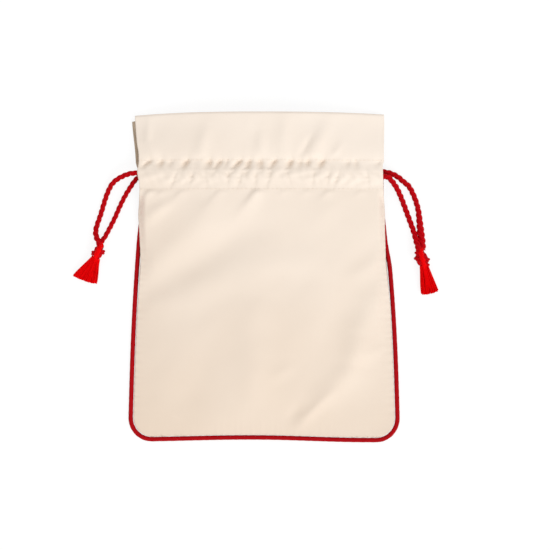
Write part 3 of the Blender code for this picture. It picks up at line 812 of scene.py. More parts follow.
def across_tuck(x, down, place, slant, left_width, right_width):
    """Profile across a tuck or a pleat that leans to the left going down."""
    away = x - (lean(CASING_MIDDLE) + place * NECK_HALF - slant * down)
    return np.exp(-((away / np.where(away < 0, left_width, right_width)) ** 2))


def along_tuck(down, length):
    """Starts at half of its depth, is full after its run-in and then fades out over its length."""
    fade = np.exp(-((np.clip(down - TUCK_RUN_IN, 0, None) / length) ** 2))
    return (0.50 + 0.50 * rise(0, TUCK_RUN_IN, down)) * fade


def casing_ripple(x, y):
    inside = np.exp(-(((y - CASING_MIDDLE) / RIPPLE_REACH) ** 2))
    bend = 2.4 * np.sin(TURN * y / RIPPLE_BEND_PITCH + 60 * x) + 2.2 * np.sin(x * 131.0)
    coarse, fine = RIPPLE_PITCHES
    ripple = np.sin(TURN * x / coarse + bend) + 0.6 * np.sin(TURN * (x + 0.5 * y) / fine + 1.3)
    return RIPPLE_HEIGHT * inside * ripple


def gathers(x, y):
    """Height that the gathers add to the front panel's outer layer."""
    total = np.zeros(np.broadcast(x, y).shape)
    under_upper = np.clip(UPPER_STITCH - y, 0, None)
    under_lower = np.clip(LOWER_STITCH - y, 0, None)
    over_upper = np.clip(y - UPPER_STITCH, 0, None)
    over_fade = np.where(over_upper > 0, OVER_ROW_SHARE * np.exp(-over_upper / OVER_ROW_REACH), 1)
    for place, depth, length, slant in UPPER_TUCKS:
        stroke = along_tuck(under_upper, length) * over_fade
        total -= TUCK_DEPTH * depth * stroke * across_tuck(x, under_upper, place, slant, *TUCK_WIDTHS)
    widths = [width + spread * under_lower for width, spread in zip(PLEAT_WIDTHS, PLEAT_SPREADS)]
    for place, height, length, slant in LOWER_PLEATS:
        stroke = rise(0, PLEAT_RUN_IN, under_lower) * np.exp(-((under_lower / length) ** 2))
        total += PLEAT_HEIGHT * height * stroke * across_tuck(x, under_lower, place, slant, *widths)
    between_rows = np.exp(-(((y - CASING_MIDDLE + CREASE_DROP) / CREASE_REACH) ** 2))
    for place, slant in CASING_CREASES:
        crease = across_tuck(x, CASING_MIDDLE - y, place, slant, *CREASE_WIDTHS)
        total -= CREASE_DEPTH * between_rows * crease
    return total + casing_ripple(x, y)


print("deepest tuck:", round(TUCK_DEPTH * max(depth for _, depth, _, _ in UPPER_TUCKS) * 1000, 1), "mm")

# %% [markdown]
# Soft folds
#
# Folds that run across the body are what makes cloth read as cloth. Each is a bent line with a width and a
# height: up for a ridge and down for a hollow. The light comes from the lower right, so a ridge is dark above
# and bright below, and that is how each fold was placed from the photograph. The first sixteen lie on the
# body and the rest on the header. Each fold fades out at its ends, and where two cross their heights add up.

# %% Folds of the body and the header
FOLDS = (
    (((-0.079, 0.033), (-0.068, 0.041), (-0.055, 0.051)), 0.0044, 0.0017),
    (((-0.080, -0.002), (-0.066, 0.010), (-0.053, 0.022), (-0.040, 0.034), (-0.028, 0.046)), 0.0105, 0.0019),
    (((-0.080, -0.011), (-0.055, 0.001), (-0.036, 0.013), (-0.015, 0.026), (0.010, 0.034)), 0.0090, -0.0013),
    (((-0.080, -0.022), (-0.050, -0.013), (-0.024, 0.000), (0.002, 0.009), (0.040, 0.011)), 0.0100, 0.0013),
    (((-0.002, -0.012), (-0.007, -0.036), (-0.005, -0.058), (-0.009, -0.084)), 0.0110, 0.0013),
    (((-0.006, -0.052), (-0.010, -0.062), (-0.016, -0.072)), 0.0100, 0.0010),
    (((-0.030, -0.046), (-0.044, -0.070), (-0.056, -0.088)), 0.0130, -0.0013),
    (((0.019, -0.098), (0.026, -0.089), (0.036, -0.079), (0.044, -0.072)), 0.0034, 0.0013),
    (((0.030, -0.083), (0.043, -0.071), (0.052, -0.061), (0.058, -0.048), (0.060, -0.036)), 0.0085, 0.0019),
    (((0.056, -0.056), (0.061, -0.034), (0.068, -0.019), (0.082, -0.007)), 0.0105, 0.0026),
    (((0.014, -0.092), (0.024, -0.080)), 0.0034, -0.0006),
    (((0.054, 0.001), (0.066, 0.006), (0.080, 0.015)), 0.0060, 0.0012),
    (((0.064, -0.050), (0.080, -0.043)), 0.0034, 0.0005),
    (((0.002, -0.066), (0.020, -0.055)), 0.0046, 0.0006),
    (((0.028, -0.046), (0.036, -0.010), (0.042, 0.018)), 0.0120, 0.0007),
    (((0.032, 0.028), (0.044, 0.050)), 0.0070, 0.0006),
    (((0.028, 0.072), (0.041, 0.098)), 0.0054, 0.0017),
    (((0.022, 0.074), (0.031, 0.090)), 0.0024, -0.0010),
    (((0.042, 0.074), (0.049, 0.084)), 0.0022, 0.0006),
    (((-0.041, 0.073), (-0.036, 0.096)), 0.0044, 0.0012),
    (((-0.002, 0.074), (-0.002, 0.093)), 0.0036, 0.0012),
    (((0.012, 0.076), (0.013, 0.103)), 0.0046, 0.0010),
    (((-0.067, 0.074), (-0.0735, 0.086), (-0.0730, 0.100)), 0.0028, 0.0013),
    (((-0.006, 0.090), (-0.012, 0.105)), 0.0040, 0.0006),
    (((0.0738, 0.074), (0.0742, 0.104)), 0.0011, -0.0004),
)
print(len(FOLDS), "folds")

# %% [markdown]
# The shape of a fold
#
# A fold's height falls off smoothly with the distance from its bent line. The nearest point of the line
# is looked for on each of its stretches in turn, for the whole sheet at once, and the run along the line
# up to that point says how much the fold has faded.

# %% Height of the folds
FADE_REACH = 0.016


def fold_profile(x, y, line, width):
    """1 on a bent line, less across it, and fading out over its two ends."""
    lengths = [math.dist(start, end) for start, end in zip(line, line[1:])]
    whole = sum(lengths)
    fade_reach = min(FADE_REACH, whole / 2)
    nearest = np.full(np.broadcast(x, y).shape, 1.0)
    place = np.zeros_like(nearest)
    before = 0
    for (x1, y1), (x2, y2), length in zip(line, line[1:], lengths):
        along_x, along_y = x2 - x1, y2 - y1
        share = np.clip(((x - x1) * along_x + (y - y1) * along_y) / length**2, 0, 1)
        away = np.hypot(x - x1 - share * along_x, y - y1 - share * along_y)
        place = np.where(away < nearest, before + share * length, place)
        nearest = np.minimum(nearest, away)
        before += length
    end_fade = rise(-fade_reach / 2, fade_reach, np.minimum(place, whole - place))
    return np.exp(-((nearest / width) ** 2)) * end_fade


def folds(x, y):
    total = np.zeros(np.broadcast(x, y).shape)
    for line, width, height in FOLDS:
        total += height * fold_profile(x, y, line, width)
    return total


print("height on one fold's line:", round(float(folds(-0.053, 0.022)) * 1000, 2), "mm")

# %% [markdown]
# Small unevenness
#
# Pressed cloth still waves a little. A few dozen long, low waves in mixed directions give that, from a
# seeded list so that every run is the same. Along the seams the cloth is eased onto the piping and
# puckers every few millimetres.

# %% Waves and seam puckers
WAVES = 26
WAVE_LENGTHS = (0.010, 0.045)
WAVE_HEADING = math.radians(-42)
WAVE_SPREAD = 0.7
WAVE_STEEPNESS = 0.0048
PUCKER_HEIGHT = 0.00024
PUCKER_PITCHES = (0.0047, 0.0031)
PUCKER_REACH = 0.0026

wave_dice = random.Random(11)
wave_list = []
for _ in range(WAVES):
    length = wave_dice.uniform(*WAVE_LENGTHS)
    heading = wave_dice.gauss(WAVE_HEADING, WAVE_SPREAD)
    wave_list.append((TURN / length, heading, wave_dice.uniform(0, TURN), WAVE_STEEPNESS * length))


def waves(x, y):
    total = np.zeros(np.broadcast(x, y).shape)
    for rate, heading, start, height in wave_list:
        total += height * np.sin(rate * (x * math.cos(heading) + y * math.sin(heading)) + start)
    return total / math.sqrt(WAVES)


def puckers(run, away):
    """Small ripples along a seam: run is the place along it and away the distance from it."""
    slow, quick = PUCKER_PITCHES
    beat = np.sin(TURN * run / slow + 1.7 * np.sin(run * 180.0)) + 0.6 * np.sin(TURN * run / quick + 0.8)
    return PUCKER_HEIGHT * beat * np.exp(-away / PUCKER_REACH)


print("highest wave:", round(max(height for _, _, _, height in wave_list) * 1000, 2), "mm")

# %% [markdown]
# The front panel
#
# It is one sheet: up the body, over the casing and the header, round the fold at the mouth and down again
# inside as far as the lower stitches. A cloth simulation could drape it, but its folds have to lie where
# the photograph has them, so it is one long grid along that way whose heights are worked out. Rows lie
# close together in the casing, where the gathers are.

# %% Rows of the front sheet
COLUMNS = 230
CORNER_ROWS = 8
BODY_ROWS = 124
CASING_ROWS = 33
HEADER_ROWS = 28
FOLD_ROWS = 7
LINING_HEADER_ROWS = 7
LINING_CASING_ROWS = 6
INNER_INSET = 0.0044
MOUTH_ROW = TOP - CLOTH / 2 - LAYER / 2


def band(heights, lift, outer, inset):
    """Rows of one band: height, lift off the lining, 2 body or 1 outer or 0 inner cloth, share of inset."""
    rows = np.zeros((len(heights), 4))
    rows[:, 0] = heights
    rows[:, 1] = lift
    rows[:, 2] = outer
    rows[:, 3] = inset
    return rows


corner_turn = np.linspace(0, math.pi / 2, CORNER_ROWS)
body_start = BOTTOM + SEAM_INSET + (CORNER_RADIUS - SEAM_INSET) * (1 - np.cos(corner_turn))
body_heights = np.concatenate([body_start, np.linspace(body_start[-1], LOWER_STITCH, BODY_ROWS)[1:-1]])
casing_heights = np.linspace(LOWER_STITCH, UPPER_STITCH, CASING_ROWS)
header_heights = np.linspace(UPPER_STITCH, MOUTH_ROW, HEADER_ROWS)[1:]
header_lifts = between(UPPER_ROW_HEIGHT, LAYER, rise(UPPER_STITCH, TOP - HEM, header_heights))
fold_turn = np.linspace(math.pi / 2, -math.pi / 2, FOLD_ROWS)[1:-1]
fold_heights = MOUTH_ROW + LAYER / 2 * np.cos(fold_turn)
fold_lifts = LAYER / 2 + LAYER / 2 * np.sin(fold_turn)
lining_header = np.linspace(MOUTH_ROW, UPPER_STITCH, LINING_HEADER_ROWS)
lining_casing = np.linspace(UPPER_STITCH, LOWER_STITCH - HEM, LINING_CASING_ROWS)[1:]
lining_heights = np.concatenate([lining_header, lining_casing])
lining_inset = np.clip((TOP - lining_heights) / HEADER_HEIGHT, 0, 1)
front_rows = np.vstack([
    band(body_heights, 0, 2, 0),
    band(casing_heights, puff(casing_heights), 1, 0),
    band(header_heights, header_lifts, 1, 0),
    band(fold_heights, fold_lifts, 0, 0),
    band(lining_heights, 0, 0, lining_inset),
])
print("front sheet:", len(front_rows), "rows of", COLUMNS, "columns")

# %% [markdown]
# What holds the cloth up
#
# The lining sags a little between its sides. The casing's outer cloth can't sink below it, or into a cord
# in the casing, so a soft limit holds it up: well above the limit nothing changes, and near it the cloth
# settles on it smoothly. The cords in the casing are drawn a little thinner and lower than their free
# ends, so that the deepest tucks clear them.

# %% The lowest that the outer cloth can sink
CORD_SPACING = 0.0048
LEG_HEIGHT = 0.00150
LEG_SHARE = 0.82
LINING_SAG = 0.0012
LINING_CLEARANCE = 1.1
CORD_CLEARANCE = 0.6
SAG_TOP = TOP - 0.006
SOFT_CONTACT = 0.00028


def lining_sag(t, y):
    return LINING_SAG * (1 - t * t) * (1 - rise(UPPER_STITCH, SAG_TOP, y))


def lowest_outer(t, y):
    """The lowest that the casing's outer cloth can sink: onto the lining, or onto a cord under it."""
    lining = lining_level(t, y) - lining_sag(t, y) + LINING_CLEARANCE * CLOTH
    off_cord = np.abs(np.abs(y - CASING_MIDDLE) - CORD_SPACING / 2)
    radius = LEG_SHARE * CORD / 2
    cord_top = LEG_HEIGHT + np.sqrt(np.clip(radius**2 - off_cord**2, 0, None)) + CORD_CLEARANCE * CLOTH
    return np.where(off_cord < radius, np.maximum(lining, lining_level(t, y) + cord_top), lining)


def held_up(t, y, z):
    """The height z, eased to stay above the lowest that the cloth can sink."""
    over = (z - lowest_outer(t, y)) / SOFT_CONTACT
    return lowest_outer(t, y) + SOFT_CONTACT * np.logaddexp(0, over)


print("lowest at the casing's middle:", round(float(lowest_outer(0.0, CASING_MIDDLE)) * 1000, 1), "mm")

# %% [markdown]
# The sides of the front sheet
#
# The photograph shows both sides of the sheet off their plain outline by up to two millimetres. They are
# drawn in where they lie over the piping, and the left side stands out at the casing, where the cords
# push it, and at the mouth. Below the casing the side seam pulls the cloth down: within five millimetres
# of its edge it curls onto the piping, and so closes the pouch's side up to where the seam ends.

# %% Drift and curl of the sides
SIDE_CURL = 0.0050
SEAM_END_DROP = 0.010
SEAM_END = LOWER_STITCH - SEAM_END_DROP
CASING_BULGE = 0.0011
CASING_BULGE_MIDDLE = CASING_MIDDLE + 0.0015
CASING_BULGE_REACH = 0.0045
LEFT_DRAW = 0.0007
RIGHT_DRAW = 0.0010
RIGHT_WAIST = 0.0008
RIGHT_WAIST_MIDDLE = 0.031
RIGHT_WAIST_REACH = 0.011
MOUTH_FLARE = 0.0006
DRAWN_IN_OVER = (-0.024, 0.016)
LEFT_DRAW_ENDS_OVER = (0.028, 0.042)
FLARE_OVER = (0.078, 0.086)
RIGHT_DRAW_END = 0.004
EDGE_POWER = 8


def bell(y, middle, reach):
    """1 at its middle, and less on both sides of it."""
    return np.exp(-(((y - middle) / reach) ** 2))


def edge_drift(t, y):
    """How far the front sheet's two sides stand off its plain outline, to the right where positive."""
    over_piping = rise(*DRAWN_IN_OVER, y)
    left = LEFT_DRAW * over_piping * (1 - rise(*LEFT_DRAW_ENDS_OVER, y))
    left = left - CASING_BULGE * bell(y, CASING_BULGE_MIDDLE, CASING_BULGE_REACH)
    left = left - MOUTH_FLARE * rise(*FLARE_OVER, y)
    right = -RIGHT_DRAW * over_piping * (1 - rise(UPPER_STITCH - RIGHT_DRAW_END, UPPER_STITCH, y))
    right = right - RIGHT_WAIST * bell(y, RIGHT_WAIST_MIDDLE, RIGHT_WAIST_REACH)
    return np.where(t > 0, right, left) * np.abs(t) ** EDGE_POWER


def side_curl(y, off_side):
    """How far the body's side is pulled down onto the piping."""
    sewn = np.clip(body_level(1.0, y) - OVER_PIPING_LEVEL, 0, None) * (1 - rise(SEAM_END, LOWER_STITCH, y))
    return sewn * (1 - rise(0, SIDE_CURL, off_side))


print("most that the side is pulled down:", round(float(side_curl(SEAM_END, 0.0)) * 1000, 1), "mm")

# %% [markdown]
# Where each point of the front sheet lies
#
# One function adds up everything above for a place across and a row. The body has its own level, and all
# other rows lie on the lining or stand off it by their lift. Folds, waves and gathers are eased out
# towards the sides, where a seam holds the cloth flat, and beside the rows of stitches, where the thread
# does. The same function later lays the stitches.

# %% Places of the front sheet
EASED_EDGE = 0.010
ROW_PINCH = 0.0003
PINCH_REACH = 0.0032
HEADER_EDGE_ROLL = 0.0002
HEADER_ROLL_REACH = 0.0035
GATHER_EDGE = 0.004
HEADER_FOLD_START = 0.004
BODY_FOLD_START = 0.012
WAVE_START = 0.012


def front_places(t, rows):
    """Places of the front sheet's middle surface for a row of t and a stack of rows."""
    y = rows[:, 0:1]
    lift, outer, inset = rows[:, 1:2], rows[:, 2:3], rows[:, 3:4]
    is_body, visible = outer == 2, outer > 0
    half = front_half(y) - inset * INNER_INSET
    x = lean(y) + t * half
    off_side = (1 - np.abs(t)) * half
    off_bottom = y - BOTTOM - SEAM_INSET
    off_casing = np.abs(y - CASING_MIDDLE) - CASING_HEIGHT / 2
    free = rise(0, EASED_EDGE, off_side) * rise(0, EASED_EDGE, off_bottom)

    z = np.where(is_body, body_level(t, y), lining_level(t, y) + lift)
    pinch = ROW_PINCH * np.exp(-((np.clip(off_casing, 0, None) / PINCH_REACH) ** 2))
    edge_roll = HEADER_EDGE_ROLL * rise(TOP - HEADER_ROLL_REACH, TOP, y) ** 2
    z = z + (outer == 1) * (off_casing > 0) * (ROW_PINCH - pinch) - edge_roll
    fold_start = np.where(y > CASING_MIDDLE, HEADER_FOLD_START, BODY_FOLD_START)
    shown_folds = folds(x, y) * (0.35 + 0.65 * free) * rise(0, fold_start, off_casing)
    shown_gathers = gathers(x, y) * (0.5 + 0.5 * rise(0, GATHER_EDGE, off_side))
    z = z + visible * (shown_gathers + shown_folds)
    z = np.where(visible & ~is_body, held_up(t, y, z), z)
    z = z - ~visible * lining_sag(t, y)
    wave_share = free * (0.25 + 0.75 * rise(0, WAVE_START, off_casing)) * np.where(visible, 1, 0.5)
    z = z + waves(x, y) * wave_share
    z = z - is_body * side_curl(y, off_side)
    seam = rise(LOWER_STITCH, PIPING_COVERED, y)
    z = z + is_body * seam * (puckers(y, off_side) + 0.4 * puckers(x + 1.0, off_bottom))
    x_drifted = x + edge_drift(t, y) + 0 * z
    y_dropped = y - top_drop(t, y) + bottom_bow(x, y) + 0 * z
    return np.stack([x_drifted, y_dropped, z], axis=-1)


front = front_places(np.linspace(-1, 1, COLUMNS)[None, :], front_rows)
print("highest point of the front sheet:", round(float(front[..., 2].max()) * 1000, 1), "mm")

# %% [markdown]
# The front cloth
#
# The places become a mesh with a UV map in metres, and Solidify gives the cloth its thickness. The painted
# shade is read from the gathers: the deeper a tuck, the darker and more tan it is. The upper right of the
# body gets a little painted shade too, as in the photograph.

# %% Make the front cloth
TUCK_PAINTED_SHADE = 0.16
CORNER_PAINTED_SHADE = 0.085
SHADE_CORNER_FROM_X = (0.005, 0.060)
SHADE_CORNER_FROM_Y = (-0.020, 0.035)


def sheet_uv(places):
    """A UV map in metres along the cloth, across and up its middle."""
    across = places[..., 0]
    step = np.linalg.norm(np.diff(places, axis=0), axis=-1).mean(axis=1)
    up = np.concatenate([[0], np.cumsum(step)])[:, None] + 0 * across
    return np.stack([across, up], axis=-1)


def cloth_piece(name, places, painted_shades, node):
    """A sheet of satin with its thickness, standing for one panel."""
    shape = laid_grid(places, sheet_uv(places), painted_shades)
    bmesh.ops.recalc_face_normals(shape, faces=shape.faces)
    made = piece(name, shape, satin, "cream_satin", node)
    cloth = made.modifiers.new("Cloth", "SOLIDIFY")
    cloth.thickness = CLOTH
    cloth.offset = 0
    cloth.use_even_offset = False
    return made


# Painted shade in the tucks: the deeper a tuck, the darker and more tan.
front_tucks = gathers(front[..., 0], front[..., 1]) * (front_rows[:, 2:3] > 0)
front_painted_shade = np.clip(-front_tucks / TUCK_DEPTH, 0, 1) * TUCK_PAINTED_SHADE
# Painted shade on the upper right of the body.
painted_shade_corner = rise(*SHADE_CORNER_FROM_X, front[..., 0]) * rise(*SHADE_CORNER_FROM_Y, front[..., 1])
front_painted_shade = front_painted_shade + CORNER_PAINTED_SHADE * painted_shade_corner * (front_rows[:, 2:3] == 2)
front_cloth = cloth_piece("front_cloth", front, front_painted_shade, "front_panel")

# %% [markdown]
# The rear panel
#
# The same sheet lies under the front one with its face on the table. Its outer layer is flat, its casing
# bulges up instead, and near the piping its edge curls up to meet the seam. Its header stands a little
# further to the left. That shows as a narrow strip in the shadow of the front header, and that shadow is
# painted onto the sheet there.

# %% Rows of the rear sheet
REAR_COLUMNS = 150
REAR_BODY_ROWS = 50
REAR_OUTER_ROWS = 20
REAR_HEADER_ROWS = 10
REAR_CASING_ROWS = 24

rear_fold = TOP - 2 * CLOTH - CLOTH / 2 - LAYER / 2
rear_body = np.concatenate([body_start, np.linspace(body_start[-1], LOWER_STITCH, REAR_BODY_ROWS)[1:]])
rear_outer = np.linspace(LOWER_STITCH, rear_fold, REAR_OUTER_ROWS)[1:]
rear_inner_header = np.linspace(rear_fold, UPPER_STITCH, REAR_HEADER_ROWS)
rear_inner_casing = np.linspace(UPPER_STITCH, LOWER_STITCH, REAR_CASING_ROWS)[1:]
rear_lining = np.concatenate([rear_inner_header, rear_inner_casing])
rear_inset = np.clip((TOP - rear_lining) / HEADER_HEIGHT, 0, 1)
rear_rows = np.vstack([
    band(rear_body, 0, 0, 0),
    band(rear_outer, 0, 0, 0),
    band(rear_fold + LAYER / 2 * np.cos(fold_turn), LAYER / 2 - LAYER / 2 * np.sin(fold_turn), 0, 0),
    band(rear_lining, puff(rear_lining), 1, rear_inset),
    band(np.array([LOWER_STITCH - HEM]), LAYER, 1, 1),
])
print("rear sheet:", len(rear_rows), "rows of", REAR_COLUMNS, "columns")

# %% [markdown]
# Where each point of the rear sheet lies
#
# The rear sheet takes its outline from the same functions, and stays inside the piping up to the piping's
# end. Only its inner cloth is gathered, with the front's tucks made much shallower, because its face lies
# flat on the table.

# %% Places of the rear sheet
REAR_HEADER_LEAN = -0.0027
REAR_CORNER_DROP = 0.0026
REAR_SEAM_LEVEL = PIPING / 2 - LAYER / 2
REAR_GATHER_SHARE = 0.25
REAR_GATHER_DEPTH = 0.0006
REAR_GATHER_EDGE = 0.003
SEAM_CURL = 0.008


def rear_half(y):
    inset = SEAM_INSET * (1 - rise(PIPING_TOP + GAP, LOWER_STITCH - HEM, y))
    return half_width(y) - inset - corner_cut(y)


def rear_shift(y, inner):
    """How far the rear header stands to the left. Its lining starts to lean a little higher up."""
    low = between(CASING_MIDDLE - HEM, UPPER_STITCH - 2 * HEM, inner)
    high = between(UPPER_STITCH, UPPER_STITCH + 3 * HEM, inner)
    return REAR_HEADER_LEAN * rise(low, high, y)


def rear_places(t, rows):
    """Places of the rear sheet's middle surface. Its inner cloth is the one that is marked 1."""
    y = rows[:, 0:1]
    lift, inner, inset = rows[:, 1:2], rows[:, 2:3], rows[:, 3:4]
    half = rear_half(y) - inset * INNER_INSET
    x = lean(y) + rear_shift(y, np.clip(inset, 0, 1)) + t * half
    off_side = (1 - np.abs(t)) * half
    off_bottom = y - BOTTOM - SEAM_INSET
    curl = 1 - rise(0, SEAM_CURL, off_side) * rise(0, SEAM_CURL, off_bottom)
    curl = curl * (1 - rise(PIPING_TOP - SEAM_CURL, PIPING_TOP, y))
    z = between(REAR_LEVEL, REAR_SEAM_LEVEL, curl) + lift
    shallow = np.clip(gathers(x, y), -REAR_GATHER_DEPTH, 0)
    z = z + inner * REAR_GATHER_SHARE * shallow * rise(0, REAR_GATHER_EDGE, off_side)
    corner = REAR_CORNER_DROP * np.clip(-t, 0, 1) ** 6 * rise(UPPER_STITCH, TOP, y)
    y_dropped = y - top_drop(t, y) - corner + bottom_bow(x, y) + 0 * z
    return np.stack([x + 0 * z, y_dropped, z], axis=-1)


print("rear header stands", -REAR_HEADER_LEAN * 1000, "mm further to the left")

# %% [markdown]
# The rear cloth
#
# It is made the way the front one is. Its painted shadow rises over the last few millimetres before its left
# side, and only from the casing up, which is the strip that the photograph shows.

# %% Make the rear cloth
REAR_PAINTED_SHADOW = 0.80
REAR_SHADOW_STRIP = (0.92, 0.96)

rear_t = np.linspace(-1, 1, REAR_COLUMNS)[None, :]
rear = rear_places(rear_t, rear_rows)
# Painted shadow along the rear header's left strip.
rear_shadow_strip = rise(*REAR_SHADOW_STRIP, -rear_t) * rise(CASING_MIDDLE, UPPER_STITCH, rear_rows[:, 0:1])
rear_cloth = cloth_piece("rear_cloth", rear, REAR_PAINTED_SHADOW * rear_shadow_strip, "rear_panel")

# %% [markdown]
# The stitches
#
# Both rows are lock stitches of cream thread, a little over two millimetres long. Each stitch is a small
# stretched bead that lies along the cloth, so it dips with the cloth into the tucks. The places come from
# the same function that laid the sheet.

# %% Two rows of stitches
STITCH_LENGTH = 0.0021
STITCH_PITCH = 0.0027
THREAD = 0.00034
ROW_SHARE = 0.985
THREAD_LIFT = 0.2


def stitch_row(name, y, lift):
    """A row of stitches on the front panel's outer face."""
    count = int(NECK_WIDTH * ROW_SHARE / STITCH_PITCH)
    row = band(np.array([y]), lift, 1, 0)
    middles = np.linspace(-ROW_SHARE, ROW_SHARE, count)
    half = STITCH_LENGTH / NECK_WIDTH
    starts = front_places(middles[None, :] - half, row)[0]
    ends = front_places(middles[None, :] + half, row)[0]
    shape = bmesh.new()
    for start, end in zip(starts, ends):
        along = Vector(end - start)
        turned = along.to_track_quat("X", "Z").to_matrix().to_4x4()
        made = bmesh.ops.create_uvsphere(shape, u_segments=8, v_segments=6, radius=1)
        bmesh.ops.scale(shape, vec=(along.length / 2, THREAD / 2, THREAD / 2), verts=made["verts"])
        bmesh.ops.transform(shape, matrix=turned, verts=made["verts"])
        middle = Vector((start + end) / 2) + Vector((0, 0, CLOTH / 2 + THREAD * THREAD_LIFT))
        bmesh.ops.translate(shape, vec=middle, verts=made["verts"])
    return piece(name, shape, sewing, "cream_satin")


stitch_row("upper_stitches", UPPER_STITCH, UPPER_ROW_HEIGHT)
stitch_row("lower_stitches", LOWER_STITCH, LOWER_ROW_HEIGHT)

# %% [markdown]
# The piping
#
# Red cloth is wrapped tightly round a thin filler cord and caught in the seam. The wrapping creases a
# little where it goes round a corner and where the stitches hold it, so the tube swells and narrows
# slightly.

# %% The piping
PIPING_STEP = 0.0007
PIPING_POINTS = 0.004
PIPING_SIDES = 18
LEFT_END_DRAW = 0.0006
RIGHT_END_DRAW = 0.0013
LEFT_DRAWN_OVER = (0.020, 0.042)
RIGHT_DRAWN_OVER = (0.004, 0.024)
CORNER_POINTS = 8
COVER_WIDTH = 0.965
COVER_CREASE = 0.022
CREASE_SLANT = 0.0016
CREASE_PITCHES = (0.0053, 0.0031)


def piping_line():
    """Down the left side, round both corners and up the right side. Its upper ends are drawn in a little."""
    radius = CORNER_RADIUS - PIPING / 2
    corner_y = BOTTOM + CORNER_RADIUS
    corner_x = half_width(corner_y) - CORNER_RADIUS
    left, right = [], []
    for y in np.arange(PIPING_TOP, corner_y, -PIPING_POINTS):
        left_in = PIPING / 2 + LEFT_END_DRAW * rise(*LEFT_DRAWN_OVER, y)
        right_in = PIPING / 2 + RIGHT_END_DRAW * rise(*RIGHT_DRAWN_OVER, y)
        left.append((lean(y) - half_width(y) + left_in, y, PIPING / 2))
        right.append((lean(y) + half_width(y) - right_in, y, PIPING / 2))
    round_left = []
    for turn in np.linspace(0, math.pi / 2, CORNER_POINTS):
        across, down = radius * math.cos(turn), radius * math.sin(turn)
        round_left.append((-corner_x - across, corner_y - down, PIPING / 2))
    round_right = [(-x, y, z) for x, y, z in reversed(round_left)]
    bottom = [(x, BOTTOM + PIPING / 2, PIPING / 2) for x in np.arange(-corner_x, corner_x, PIPING_POINTS)[1:]]
    line = np.array(left + round_left + bottom + round_right + right[::-1])
    line[:, 1] += bottom_bow(line[:, 0], line[:, 1])
    return smooth_line(line, PIPING_STEP)


def wrapped_tube(line, diameter, sides):
    """A cloth-covered cord: round, with small creases across it."""
    run = run_of(line)
    around = np.linspace(0, TURN, sides + 1)
    slope = run[:, None] + CREASE_SLANT * np.sin(around)[None, :]
    slow, quick = CREASE_PITCHES
    creases = np.sin(TURN * slope / slow + 2.1 * np.sin(run * 95.0)[:, None])
    creases = creases + 0.5 * np.sin(TURN * slope / quick + 0.4)
    reach = diameter / 2 * (COVER_WIDTH + COVER_CREASE * creases)
    return swept_tube(line, around, reach, around[None, :] / TURN, diameter)


piping_path = piping_line()
cover = wrapped_tube(piping_path, PIPING, PIPING_SIDES)
piece("piping_cover", cover, piping_finish, "red_piping", "piping")
print("piping is", round(run_of(piping_path)[-1] * 1000), "mm long")

# %% [markdown]
# The cords inside the casing
#
# Each drawcord crosses the front casing, turns round the far side and comes back through the rear casing.
# Little of it shows, only at the open sides, but it is what the strands hang on, so it is the same plied
# cord.

# %% Cords in the casing
TURN_GAP = 0.0010
LEG_POINTS = 24
BEND_POINTS = 9
LEG_STEP = 0.0005
LEG_SIDES = 6


def mouth_x(side):
    return lean(CASING_MIDDLE) + side * (NECK_WIDTH / 2 - CORD / 2)


def leg(x, side, front):
    """A place on one leg of the cord that leaves the casing at this side."""
    y = CASING_MIDDLE - side * (1 if front else -1) * CORD_SPACING / 2
    if not front:
        return np.array((x, y, REAR_LEVEL + LEG_HEIGHT))
    t = np.clip((x - lean(CASING_MIDDLE)) / (NECK_WIDTH / 2), -1, 1)
    return np.array((x, y, lining_level(t, CASING_MIDDLE) + LEG_HEIGHT))


def inner_line(side):
    """Across the front casing, round the far side in a half circle and back through the rear casing."""
    start = mouth_x(side)
    high, low = leg(start, side, True), leg(start, side, False)
    reach = np.linalg.norm(high - low) / 2
    far_layer = lean(CASING_MIDDLE) - side * (NECK_WIDTH / 2 - INNER_INSET)
    centre = (high + low) / 2
    centre[0] = far_layer + side * (reach - CORD / 2 - TURN_GAP)
    towards = (high - low) / np.linalg.norm(high - low)
    across = np.linspace(start, centre[0], LEG_POINTS, endpoint=False)
    bend = [
        centre + np.array((-side * reach * math.sin(turn), 0, 0)) + towards * reach * math.cos(turn)
        for turn in np.linspace(0, math.pi, BEND_POINTS)
    ]
    there = [leg(x, side, True) for x in across]
    back = [leg(x, side, False) for x in across[::-1]]
    return smooth_line(there + bend + back, LEG_STEP)


for side, word in ((-1, "left"), (1, "right")):
    line = inner_line(side)
    tube = plied_tube(line, CORD * LEG_SHARE, LEG_SIDES)
    piece(word + "_cord_inside", tube, cord_finish, "red_cord", word + "_cord_in_casing")
    print(word, "cord runs", round(run_of(line)[-1] * 1000), "mm inside the casing")

# %% [markdown]
# The knots
#
# The two strands of each side run side by side into one overhand knot. What shows is cord that goes round
# the pair on a slant, nearly twice, and one last pass that comes down over its front towards the tassel.
# That pass has the tassel's brighter red, as in the photograph. This red is partly the looser yarns that lead
# into the tassel and partly a painted highlight where the light falls on the knot's front. The knot is made
# of the same plied cord: a winding, the front pass, the ends of both strands inside it, and a core that fills
# its middle.

# %% Lines of a knot
KNOT_RADIUS = 0.0040
KNOT_CORD = 0.0034
KNOT_STEP = 0.0004
KNOT_SIDES = 7
POINTS_A_TURN = 18
START_ANGLE = -0.9
EASE_START = 0.30
EASE_RATE = 1.6


